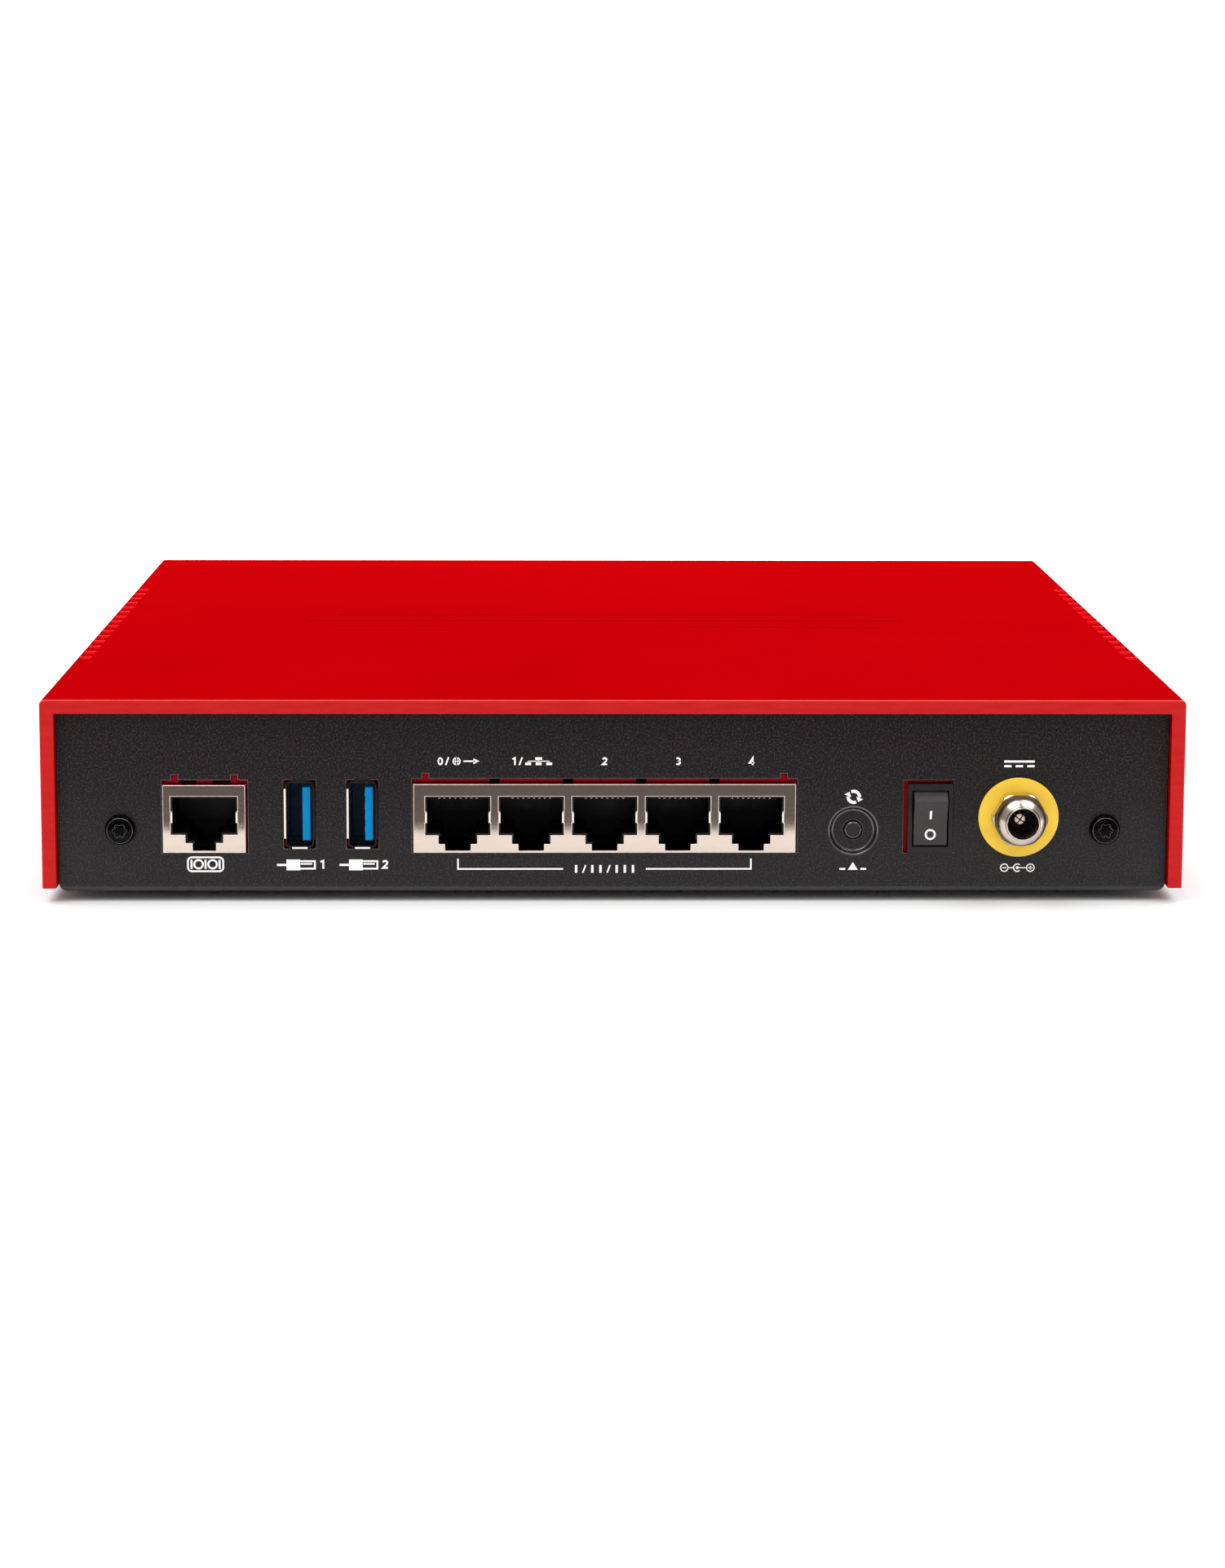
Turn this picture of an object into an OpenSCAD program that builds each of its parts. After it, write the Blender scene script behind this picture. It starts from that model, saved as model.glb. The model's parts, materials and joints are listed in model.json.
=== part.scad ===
// Desktop firewall appliance: a moulded cover over a folded steel tray, with
// network, console, USB, reset and power parts on its connector side.
// Frame: the connector side faces -Y, +X is to its right, +Z is up, and the
// origin is on the ground under the middle of the overall box. Millimetres.

/* [Case] */
// Width of the cover
case_w = 217; // [217:1:230]
// Depth of the cover, from its rear edge to its front face
case_d = 205; // [203:1:225]
// Height from the ground to the top of the cover
case_h = 39.4; // [39.4:0.2:46]
// Thickness of the cover's walls
wall = 2.7; // [2:0.1:2.8]
// Radius of the cover's top and front edges
corner_r = 1; // [0.8:0.1:2.2]
// Thickness of the tray's sheet metal
sheet_t = 1.2; // [1:0.1:1.2]
// Height of the rubber feet
foot_h = 1.8; // [1.6:0.1:2.2]

/* [Vents] */
// Number of slots in each side of the cover
vent_count = 15; // [6:1:15]
// Distance from slot to slot
vent_pitch = 7.1; // [6.5:0.1:7.1]
// Width of one slot
vent_w = 3.5; // [2:0.1:4]
// Distance from the cover's rear edge to the middle of the first slot
vent_start = 50.4; // [46:0.2:50.4]

/* [Network ports] */
// Number of ports in the ganged jack
port_count = 5; // [4:1:5]
// Distance from port to port
port_pitch = 13.97; // [13.9:0.01:14]
// Distance between the two USB receptacles
usb_pitch = 11.9; // [11:0.1:12.2]

/* [Power parts] */
// Bore radius of the DC inlet
inlet_r = 2.95; // [2.85:0.05:3]
// Radius of the DC inlet's centre pin
inlet_pin_r = 1; // [0.8:0.05:1.1]
// Angle of the rocker to either side of its middle
rocker_tilt = 12; // [8:1:12]
// Travel of the reset button
reset_travel = 0.4; // [0.2:0.1:0.5]

/* [Hidden] */
$fn = 48;
// Length by which cutting solids run past the faces they cut
past = 1;

// Case faces. The inlet's tip stands out past the cover's rear edge.
inlet_out = 5;
rear_y = inlet_out - (case_d + inlet_out) / 2;
front_y = rear_y + case_d;
side_x = case_w / 2;
inner_x = side_x - wall;
inner_top = case_h - wall;
inner_front = front_y - wall;
cover_low = foot_h + 1.2;

// Tray: connector panel 2 mm inside the cover's rear edge
tray_gap = 0.2;
panel_y = rear_y + 2;
panel_in = panel_y + sheet_t;
tray_x = inner_x - tray_gap;
tray_front = inner_front - 0.6;
tray_floor = foot_h + sheet_t;
tray_bend = 1.8;
tray_flange_top = foot_h + 8;
panel_top = inner_top - tray_gap;

// Cover's inner rear wall, close behind the panel
comb_y = panel_in + 0.5;
comb_t = 1.5;
comb_low = tray_floor + 0.5;
hook_x = 60;
hook_z = 5.2;
boss_r = 3.2;
boss_len = 10;
screw_x = 93.75;
screw_z = 14.1;
screw_shank_r = 1.45;
screw_bore_r = 1.5;

// Main board
board_t = 1.6;
board_low = 8;
board_top = board_low + board_t;
board_x = 101;
board_rear = panel_in + 2.6;
board_front = 92;
board_hole_r = 1.7;
hole_x = 95;
hole_ys = [-75, 10, 85];

// Connector places on the panel
jack_face = panel_y - 0.35;
console_x = -77.85;
lan_x = -1.74;
usb_x = -59.72;
usb_z = 17;
usb_w = 5.4;
usb_h = 12.8;
reset_x = 45.7;
reset_z = 13.8;
switch_x = 60.35;
switch_z = 16.25;
inlet_x = 77.2;
inlet_z = 16.5;

// Sheet and cavity sizes of the jacks: [w, h] of the plug opening and of its
// two latch steps, then the drop of the opening below the shield's top
shield_t = 0.3;
jack_depth = 18;
cavity_depth = 13;
console_w = 15.7;
console_h = 13.1;
console_steps = [[12.7, 7.4], [7.15, 1.6], [4.4, 1.5]];
console_drop = 2.2;
lan_w = (port_count - 1) * port_pitch + 16.92;
lan_h = 13.3;
lan_steps = [[12.4, 7.5], [7.3, 1.7], [4.85, 1.3]];
lan_drop = 2.4;
tab_h = 2.2;
housing_rim = 0.3;
tab_deep = 1.4;

// Switch: the rocker turns about an X axis behind its bezel
bezel_w = 8.7;
bezel_h = 13.3;
bezel_face = panel_y - 0.6;
bezel_t = 1.6;
pivot_y = bezel_face + 2.9;
switch_body_w = 8.1;
switch_top = switch_z + 6.5;
rocker_w = 6.4;
// distance from the pivot to each face of the rocker, and to the faces' ends
rocker_flush = 2.85;
rocker_r = sqrt(pow(rocker_flush, 2) + pow(5.1, 2));
pivot_pin_r = 0.9;

// Indicator window in the front wall
window_w = 84;
window_h = 8.5;
window_z = 24.75;
window_lip = 1.5;
led_count = 8;
led_pitch = 9;
led_y = 88.4;

// DC inlet: a hexagon and a washer outside the panel, a nut and leads inside
washer_t = 0.5;
hex_t = 2.8;
hex_front = panel_y - washer_t - hex_t;
thread_r = 4;
inlet_tip = rear_y - inlet_out;
entry_len = 4.4;
socket_r = inlet_r + 0.35;
inlet_back = panel_in + 10;
lead_r = 0.8;
lead_bend_r = 3;
lead_bend_y = inlet_back + 12;
lead_gap = 3.5;
header_top = board_top + 3.6;

// Processor and heatsink
cpu_y = 12;
cpu_t = 1.6;
pad_t = 0.6;
sink_w = 58;
sink_base = 3;
sink_low = board_top + cpu_t + pad_t;
sink_top = 28;
fin_count = 12;
fin_t = 1.4;

// A block given by its ranges along X, Y and Z
module block(x, y, z) {
    translate([x[0], y[0], z[0]])
        cube([x[1] - x[0], y[1] - y[0], z[1] - z[0]]);
}

// A block centred on x and y and standing on z
module standing(x, y, z, size) {
    translate([x - size[0] / 2, y - size[1] / 2, z]) cube(size);
}

module rod_x(r, x, y, z) {
    translate([x[0], y, z]) rotate([0, 90, 0]) cylinder(r = r, h = x[1] - x[0]);
}

module rod_y(r, x, y, z) {
    translate([x, y[0], z]) rotate([-90, 0, 0]) cylinder(r = r, h = y[1] - y[0]);
}

module rod_z(r, x, y, z) {
    translate([x, y, z[0]]) cylinder(r = r, h = z[1] - z[0]);
}

// An outline in X and Z pushed along Y, and one in Y and Z pushed along X
module along_y(y) {
    translate([0, y[1], 0]) rotate([90, 0, 0]) linear_extrude(y[1] - y[0]) children();
}

module along_x(x) {
    translate([x[0], 0, 0]) rotate([90, 0, 90]) linear_extrude(x[1] - x[0]) children();
}

// A rectangle with round corners, from corner a to corner b
module round_rect(a, b, r) {
    translate([a[0] + r, a[1]]) square([b[0] - a[0] - 2 * r, b[1] - a[1]]);
    translate([a[0], a[1] + r]) square([b[0] - a[0], b[1] - a[1] - 2 * r]);
    for (x = [a[0] + r, b[0] - r], y = [a[1] + r, b[1] - r])
        translate([x, y]) circle(r);
}

// A turned shape about an axis along Y: points are [radius, y]
module turned_y(x, z, points) {
    translate([x, 0, z]) rotate([-90, 0, 0]) rotate_extrude() polygon(points);
}

// A turned shape about an upright axis: points are [radius, z]
module turned_z(x, y, points) {
    translate([x, y, 0]) rotate_extrude() polygon(points);
}

// ---- Cover ----

module cover_block() {
    intersection() {
        along_y([rear_y, front_y])
            round_rect([-side_x, -wall], [side_x, case_h], corner_r);
        along_x([-side_x, side_x])
            round_rect([rear_y - wall, -wall], [front_y, case_h], corner_r);
        linear_extrude(case_h)
            round_rect([-side_x, rear_y - 2 * wall], [side_x, front_y], corner_r);
    }
}

// Slots that run down the side and open in the top behind a thin rail at its edge
module vent_slots() {
    rail_w = 0.6;
    rail_h = 1.2;
    for (s = [-1, 1]) difference() {
        for (i = [0 : vent_count - 1])
            translate([s * (side_x + past - 2), rear_y + vent_start + i * vent_pitch, 0])
                standing(0, 0, 14, [4, vent_w, case_h]);
        translate([s * (side_x - rail_w / 2 + past / 2), 0, 0])
            standing(0, 0, case_h - rail_h, [rail_w + past, 2 * case_d, case_h]);
    }
}

// Plain decorative grooves in the top face, in three rows
module top_grooves() {
    for (i = [-1, 0, 1])
        standing(0, rear_y + 102 + i * 9, case_h - 0.35, [130 - 12 * abs(i), 0.9, past]);
}

module cover_shell() {
    difference() {
        cover_block();
        block([-inner_x, inner_x], [rear_y - past, inner_front], [-past, inner_top]);
        block([-side_x - past, side_x + past], [rear_y - past, front_y + past], [-past, cover_low]);
        vent_slots();
        top_grooves();
        along_y([inner_front - past, front_y + past]) window_outline(0.15);
    }
}

// A gap in the inner wall that is open below, so the cover drops over a part
module comb_gap(x, half_w, top) {
    block([x - half_w, x + half_w], [comb_y - past, comb_y + comb_t + past],
        [comb_low - past, top]);
}

// An upright slit above a jack
module comb_slit(x, w) {
    standing(x, comb_y + comb_t / 2, board_top, [w, comb_t + 2, 17]);
}

// The wall stands just clear of the jacks, so its edges show round them
module inner_wall() {
    snug = 0.05;
    difference() {
        block([-inner_x, inner_x], [comb_y, comb_y + comb_t], [comb_low, inner_top]);
        for (s = [-1, 1]) {
            comb_gap(s * inner_x, 2.4, tray_flange_top + 0.5);
            comb_slit(console_x + s * 3.25, 3.3);
        }
        comb_gap(console_x, console_w / 2 + snug, board_top + console_h + snug);
        for (i = [0, 1])
            comb_gap(usb_x + i * usb_pitch, usb_w / 2 + snug, usb_z + usb_h / 2 + snug);
        comb_gap(lan_x, lan_w / 2 + snug, board_top + lan_h + snug);
        for (i = [1 : port_count - 1])
            comb_slit(lan_x + (i - port_count / 2) * port_pitch, 1.9);
        comb_gap(reset_x, 6.5, reset_z + 6.5);
        comb_gap(switch_x, switch_body_w / 2 + snug, switch_top + snug);
        comb_gap(inlet_x, 6.7, inlet_z + 6.3);
    }
}

module top_cover() {
    color([0.82, 0.02, 0.05]) difference() {
        union() {
            cover_shell();
            inner_wall();
            for (s = [-1, 1])
                rod_y(boss_r, s * screw_x, [comb_y, comb_y + boss_len], screw_z);
            // hooks that reach through the tray's front flange
            for (s = [-1, 1])
                block([s * hook_x - 5, s * hook_x + 5], [tray_front - 1.8, inner_front + 0.2],
                    [hook_z, hook_z + 2]);
        }
        for (s = [-1, 1])
            rod_y(screw_bore_r, s * screw_x, [comb_y - past, comb_y + boss_len - 1.5], screw_z);
    }
}

// ---- Tray ----

// Places where the sheet is cut away for a jack: a main hole and two notches
module jack_cutout(x, half_w, top, notch_x) {
    block([x - half_w, x + half_w], [panel_y - past, panel_in + past], [board_top - 0.1, top]);
    for (s = [-1, 1])
        standing(x + s * notch_x, panel_y + sheet_t / 2, board_top,
            [1.25, 3 * sheet_t, top - board_top + 1]);
}

module tray_body() {
    difference() {
        intersection() {
            along_y([panel_y, tray_front])
                round_rect([-tray_x, foot_h], [tray_x, panel_top + tray_bend], tray_bend);
            along_x([-tray_x, tray_x])
                round_rect([panel_y, foot_h], [tray_front, panel_top + tray_bend], tray_bend);
            block([-tray_x, tray_x], [panel_y, tray_front], [foot_h, panel_top]);
        }
        // inside of the folded sheet, with the sides and front cut lower
        block([-tray_x + sheet_t, tray_x - sheet_t], [panel_in, tray_front - sheet_t],
            [tray_floor, panel_top + past]);
        block([-tray_x - past, tray_x + past], [panel_in, tray_front + past],
            [tray_flange_top, panel_top + past]);
    }
}

module floor_vents() {
    for (i = [-7 : 7], s = [-1, 1])
        standing(i * 8, 5 + s * 28, foot_h - past, [3, 26, sheet_t + 2]);
}

module chassis_tray() {
    color([0.16, 0.15, 0.16]) difference() {
        union() {
            tray_body();
            rod_y(5.4, reset_x, [panel_in - 0.2, panel_in + 1], reset_z);
        }
        floor_vents();
        for (s = [-1, 1]) {
            standing(s * hook_x, tray_front - sheet_t / 2, hook_z - 0.3, [10.6, 3 * sheet_t, 2.6]);
            rod_y(screw_bore_r + 0.3, s * screw_x, [panel_y - past, panel_in + past], screw_z);
        }
        jack_cutout(console_x + 0.12, console_w / 2 + 0.3, board_top + console_h + 0.9, 5.65);
        jack_cutout(lan_x, lan_w / 2 + 0.25, board_top + lan_h + 1, lan_w / 2 - 2.3);
        for (i = [0, 1])
            standing(usb_x + i * usb_pitch, panel_y, usb_z - 6.65, [6.1, 3 * sheet_t, 13.3]);
        block([switch_x - bezel_w / 2 - 0.75, switch_x + bezel_w / 2 + 0.1],
            [panel_y - past, panel_in + past], [board_top - 0.1, switch_z + 7.35]);
        rod_y(4.1, inlet_x, [panel_y - past, panel_in + past], inlet_z);
        // dish drawn round the reset button, and its hole
        turned_y(reset_x, reset_z, [[0, panel_y - past], [4.9, panel_y - past],
            [4.6, panel_y], [4, panel_y + 1], [0, panel_y + 1]]);
        rod_y(1.9, reset_x, [panel_y, panel_in + 2], reset_z);
    }
}

// ---- Fasteners, feet and sheets ----

// Pan-head screw pointing along +Y, with a six-lobe recess in its head
module rear_screw(x) {
    head_r = 2.9;
    head_t = 1.7;
    lobe = 0.95;
    difference() {
        turned_y(x, screw_z, [[0, panel_y - head_t], [1.6, panel_y - head_t],
            [2.45, panel_y - head_t + 0.3], [head_r, panel_y - 0.5], [head_r, panel_y],
            [screw_shank_r, panel_y], [screw_shank_r, panel_y + 9],
            [0.6, panel_y + 10], [0, panel_y + 10]]);
        rod_y(1.05, x, [panel_y - head_t - past, panel_y - head_t + 1], screw_z);
        for (i = [0 : 5])
            rod_y(0.38, x + lobe * cos(60 * i), [panel_y - head_t - past, panel_y - head_t + 1],
                screw_z + lobe * sin(60 * i));
    }
}

module rear_cover_screws() {
    color([0.06, 0.06, 0.07]) for (s = [-1, 1]) rear_screw(s * screw_x);
}

module rubber_foot(i) {
    x = (i % 2 == 0 ? -1 : 1) * 90;
    y = i < 2 ? -80 : 86;
    color([0.08, 0.08, 0.08])
        turned_z(x, y, [[0, 0], [6.2, 0], [6.8, 0.5], [7.4, foot_h], [0, foot_h]]);
}

module rating_label() {
    color([0.75, 0.76, 0.78]) translate([0, 70, foot_h - 0.12])
        linear_extrude(0.12) round_rect([-32, -14], [32, 14], 2);
}

// Runs its children at every hole of the main board
module at_board_holes() {
    for (x = [-hole_x, hole_x], y = hole_ys) translate([x, y, 0]) children();
}

module insulator_sheet() {
    color([0.85, 0.83, 0.75, 0.6]) difference() {
        standing(0, -1, tray_floor, [2 * board_x - 2, 182, 0.25]);
        at_board_holes() rod_z(3.6, 0, 0, [tray_floor - past, tray_floor + past]);
    }
}

module board_standoffs() {
    color([0.8, 0.65, 0.3]) at_board_holes() difference() {
        translate([0, 0, tray_floor]) cylinder(r = 3.1, h = board_low - tray_floor, $fn = 6);
        rod_z(screw_bore_r, 0, 0, [tray_floor + 0.6, board_low + past]);
    }
}

module board_screws() {
    color([0.7, 0.71, 0.72]) at_board_holes() difference() {
        turned_z(0, 0, [[0, board_low - 3.2], [screw_shank_r, board_low - 3.2],
            [screw_shank_r, board_top], [3, board_top], [3, board_top + 1.1],
            [2.3, board_top + 1.8], [0, board_top + 1.8]]);
        for (a = [0, 90]) rotate([0, 0, a])
            standing(0, 0, board_top + 0.9, [3.2, 0.7, 2]);
    }
}

module main_board() {
    color([0.05, 0.3, 0.2]) difference() {
        block([-board_x, board_x], [board_rear, board_front], [board_low, board_top]);
        at_board_holes() rod_z(board_hole_r, 0, 0, [board_low - past, board_top + past]);
        for (s = [-1, 1]) heatsink_pin_place(s) rod_z(1.6, 0, 0, [board_low - past, board_top + past]);
    }
}

// ---- Front: window, light pipes and indicators ----

module window_outline(grow) {
    round_rect([-window_w / 2 - grow, window_z - window_h / 2 - grow],
        [window_w / 2 + grow, window_z + window_h / 2 + grow], 1.5 + grow);
}

module led_window() {
    color([0.08, 0.06, 0.07, 0.8]) {
        along_y([inner_front - 0.2, front_y - 0.2]) window_outline(0);
        along_y([inner_front - 1.2, inner_front]) window_outline(window_lip);
    }
}

function led_x(i) = (i - (led_count - 1) / 2) * led_pitch;

module light_pipes() {
    pipe = 2.4;
    color([0.85, 0.9, 0.95, 0.6]) {
        for (i = [0 : led_count - 1]) {
            standing(led_x(i), led_y, board_top + 1.2, [3, pipe, window_z - board_top]);
            block([led_x(i) - 1.5, led_x(i) + 1.5], [led_y - pipe / 2, inner_front - 1.3],
                [window_z - 1.2, window_z + 1.2]);
        }
        // carrier bar, with a leg at each end
        block([-40, 40], [led_y + pipe / 2 - 0.2, led_y + pipe / 2 + 1.8],
            [window_z - 5.5, window_z - 3.5]);
        for (s = [-1, 1])
            standing(s * 38.5, led_y + pipe / 2 + 0.8, board_top, [3, 2, window_z - 4 - board_top]);
    }
}

module status_leds() {
    color([0.9, 0.95, 0.85]) for (i = [0 : led_count - 1])
        standing(led_x(i), led_y, board_top, [2, 1.25, 0.8]);
}

// ---- RJ45 jacks ----

// Stepped plug opening: its top middle is at the origin, grown all round
module plug_outline(steps, grow) {
    low_1 = -steps[0][1];
    low_2 = low_1 - steps[1][1];
    low_3 = low_2 - steps[2][1];
    half = [for (s = steps) s[0] / 2 + grow];
    polygon([[-half[0], grow], [half[0], grow], [half[0], low_1 - grow],
        [half[1], low_1 - grow], [half[1], low_2 - grow], [half[2], low_2 - grow],
        [half[2], low_3 - grow], [-half[2], low_3 - grow], [-half[2], low_2 - grow],
        [-half[1], low_2 - grow], [-half[1], low_1 - grow], [-half[0], low_1 - grow]]);
}

function port_xs(x, n) = [for (i = [0 : n - 1]) x + (i - (n - 1) / 2) * port_pitch];

module jack_shield(x, w, h, n, steps, drop) {
    top = board_top + h;
    tab_z = top - drop - steps[0][1] / 2 - 0.3;
    difference() {
        block([x - w / 2, x + w / 2], [jack_face, jack_face + jack_depth], [board_top, top]);
        block([x - w / 2 + shield_t, x + w / 2 - shield_t],
            [jack_face + shield_t, jack_face + jack_depth - shield_t],
            [board_top - past, top - shield_t]);
        for (px = port_xs(x, n)) translate([px, 0, top - drop])
            along_y([jack_face - past, jack_face + 2 * shield_t]) plug_outline(steps, 0);
    }
    // bottom lip below the openings
    block([x - w / 2, x + w / 2], [jack_face, jack_face + 3], [board_top, board_top + 0.25]);
    // spring tabs folded in at both sides of each opening
    for (px = port_xs(x, n), s = [-1, 1]) {
        half = steps[0][0] / 2;
        standing(px + s * (half - 0.15), jack_face + tab_deep / 2, tab_z - tab_h / 2,
            [0.3, tab_deep, tab_h]);
    }
}

module jack_housing(x, w, h, n, steps, drop) {
    top = board_top + h;
    front = jack_face + shield_t;
    difference() {
        block([x - w / 2 + shield_t, x + w / 2 - shield_t],
            [front, jack_face + jack_depth - shield_t], [board_top + 0.25, top - shield_t]);
        for (px = port_xs(x, n)) translate([px, 0, top - drop]) {
            along_y([front - past, front + cavity_depth]) plug_outline(steps, -housing_rim);
            // pockets for the shield's spring tabs
            for (s = [-1, 1])
                standing(s * (steps[0][0] / 2 - 0.19), jack_face + tab_deep / 2,
                    -steps[0][1] / 2 - 0.4 - tab_h / 2, [0.42, tab_deep + 0.1, tab_h + 0.2]);
        }
    }
}

// Eight spring wires that slope down from the roof of one port
module port_contacts(x, roof, set_back) {
    wire = 0.35;
    y = jack_face + set_back;
    for (i = [0 : 7])
        along_x([x + (i - 3.5) * 1.02 - wire / 2, x + (i - 3.5) * 1.02 + wire / 2])
            polygon([[y, roof], [y + 1.4, roof], [y + 9.5, roof - 1.9],
                [y + 9.5, roof - 2.3], [y + 1.2, roof - 0.4], [y, roof - 0.4]]);
}

module console_jack_shield() {
    color([0.8, 0.76, 0.72])
        jack_shield(console_x, console_w, console_h, 1, console_steps, console_drop);
}

module console_jack_housing() {
    color([0.05, 0.05, 0.05])
        jack_housing(console_x, console_w, console_h, 1, console_steps, console_drop);
}

module console_jack_contacts() {
    color([0.85, 0.68, 0.3])
        port_contacts(console_x, board_top + console_h - console_drop - housing_rim, 3.4);
}

module lan_jack_shield() {
    color([0.8, 0.76, 0.72])
        jack_shield(lan_x, lan_w, lan_h, port_count, lan_steps, lan_drop);
}

module lan_jack_housing() {
    color([0.05, 0.05, 0.05])
        jack_housing(lan_x, lan_w, lan_h, port_count, lan_steps, lan_drop);
}

module lan_jack_contacts() {
    color([0.85, 0.68, 0.3]) for (px = port_xs(lan_x, port_count))
        port_contacts(px, board_top + lan_h - lan_drop - housing_rim, 1.6);
}

// ---- USB receptacles, standing on their short side ----

module usb_shell(i) {
    x = usb_x + i * usb_pitch;
    back = jack_face + jack_depth;
    color([0.82, 0.8, 0.78]) {
        difference() {
            translate([x, 0, usb_z]) along_y([jack_face, back])
                round_rect([-usb_w / 2, -usb_h / 2], [usb_w / 2, usb_h / 2], 0.9);
            translate([x, 0, usb_z]) along_y([jack_face - past, back - shield_t])
                round_rect([shield_t - usb_w / 2, shield_t - usb_h / 2],
                    [usb_w / 2 - shield_t, usb_h / 2 - shield_t], 0.6);
        }
        // lips at the mouth, and feet on the board
        for (s = [-1, 1]) {
            standing(x + s * (usb_w / 2 + 0.08), jack_face + 0.4, usb_z - 4.8, [0.4, 0.8, 9.9]);
            standing(x, jack_face + 0.4, usb_z + s * (usb_h / 2 + 0.03) - 0.19, [3, 0.8, 0.38]);
        }
        for (y = [6, 15])
            standing(x, jack_face + y, board_top, [usb_w - 2, 2, usb_z - usb_h / 2 - board_top + 0.1]);
    }
}

module usb_insulator(i) {
    x = usb_x + i * usb_pitch;
    back = jack_face + jack_depth - shield_t;
    color([0.03, 0.42, 0.75]) {
        translate([x, 0, usb_z]) along_y([back - 8.5, back])
            round_rect([shield_t - usb_w / 2, shield_t - usb_h / 2],
                [usb_w / 2 - shield_t, usb_h / 2 - shield_t], 0.6);
        block([x + 0.5, x + 2], [jack_face + 0.9, back - 8], [usb_z - 5.15, usb_z + 5.15]);
    }
}

module usb_contacts(i) {
    x = usb_x + i * usb_pitch;
    color([0.85, 0.68, 0.3]) for (dz = [-3.5, -1, 1, 3.5])
        block([x + 0.35, x + 0.5], [jack_face + 3, jack_face + jack_depth - shield_t - 8.5],
            [usb_z + dz - 0.5, usb_z + dz + 0.5]);
}

module usb_1_shell() { usb_shell(0); }
module usb_1_insulator() { usb_insulator(0); }
module usb_1_contacts() { usb_contacts(0); }
module usb_2_shell() { usb_shell(1); }
module usb_2_insulator() { usb_insulator(1); }
module usb_2_contacts() { usb_contacts(1); }

// ---- Reset ----

module reset_button() {
    color([0.07, 0.07, 0.08])
        turned_y(reset_x, reset_z, [[0, panel_y + 0.6], [1.4, panel_y + 0.6],
            [1.65, panel_y + 0.8], [1.65, board_rear + 1], [0, board_rear + 1]]);
}

// Right-angle push switch; the button slides in its bore
module reset_switch() {
    front = board_rear - 0.6;
    color([0.12, 0.12, 0.13]) difference() {
        union() {
            block([reset_x - 3, reset_x + 3], [front + 0.6, front + 5], [board_top, reset_z + 3]);
            rod_y(2.4, reset_x, [front, front + 1], reset_z);
        }
        rod_y(1.7, reset_x, [front - past, board_rear + 1.3 + reset_travel], reset_z);
    }
}

// ---- Power switch ----

module power_switch_body() {
    color([0.1, 0.1, 0.11]) difference() {
        union() {
            block([switch_x - bezel_w / 2, switch_x + bezel_w / 2],
                [bezel_face, bezel_face + bezel_t],
                [switch_z - bezel_h / 2, switch_z + bezel_h / 2]);
            block([switch_x - switch_body_w / 2, switch_x + switch_body_w / 2],
                [bezel_face + bezel_t, pivot_y + 8], [board_top, switch_top]);
        }
        // round well that the rocker swings in, and its two pivot bores
        rod_x(rocker_r + 0.28, [switch_x - rocker_w / 2 - 0.25, switch_x + rocker_w / 2 + 0.25],
            pivot_y, switch_z);
        rod_x(pivot_pin_r + 0.05, [switch_x - bezel_w / 2 - past, switch_x + bezel_w / 2 + past],
            pivot_y, switch_z);
    }
}

// Drawn at its middle and turned to the off position, lower end pressed in
module power_rocker() {
    valley = rocker_flush / cos(rocker_tilt);
    rise = tan(rocker_tilt) * 8;
    color([0.13, 0.13, 0.14])
        translate([switch_x, pivot_y, switch_z]) rotate([rocker_tilt, 0, 0]) {
            difference() {
                rod_x(rocker_r, [-rocker_w / 2, rocker_w / 2], 0, 0);
                along_x([-rocker_w, rocker_w]) polygon([[-valley, 0], [-valley - rise, 8],
                    [-20, 8], [-20, -8], [-valley - rise, -8]]);
                block([-rocker_w, rocker_w], [1.6, 20], [-20, 20]);
            }
            rod_x(pivot_pin_r, [-rocker_w / 2 - 0.75, rocker_w / 2 + 0.75], 0, 0);
        }
}

module power_switch_terminals() {
    y = pivot_y + 8;
    color([0.82, 0.8, 0.76]) for (s = [-1, 1]) {
        block([switch_x + s * 2.4 - 0.8, switch_x + s * 2.4 + 0.8], [y, y + 0.6],
            [board_top, switch_z - 1]);
        block([switch_x + s * 2.4 - 0.8, switch_x + s * 2.4 + 0.8], [y + 0.5, y + 2.2],
            [board_top, board_top + 0.5]);
    }
}

// ---- DC inlet, screwed through the panel from outside ----

module hexagon_y(across, y) {
    translate([inlet_x, 0, inlet_z]) along_y(y) circle(r = across / 2 / cos(30), $fn = 6);
}

module dc_washer() {
    color([0.95, 0.75, 0.1]) difference() {
        rod_y(7.65, inlet_x, [panel_y - washer_t, panel_y], inlet_z);
        rod_y(thread_r + 0.05, inlet_x, [panel_y - 2, panel_y + past], inlet_z);
    }
}

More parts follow.
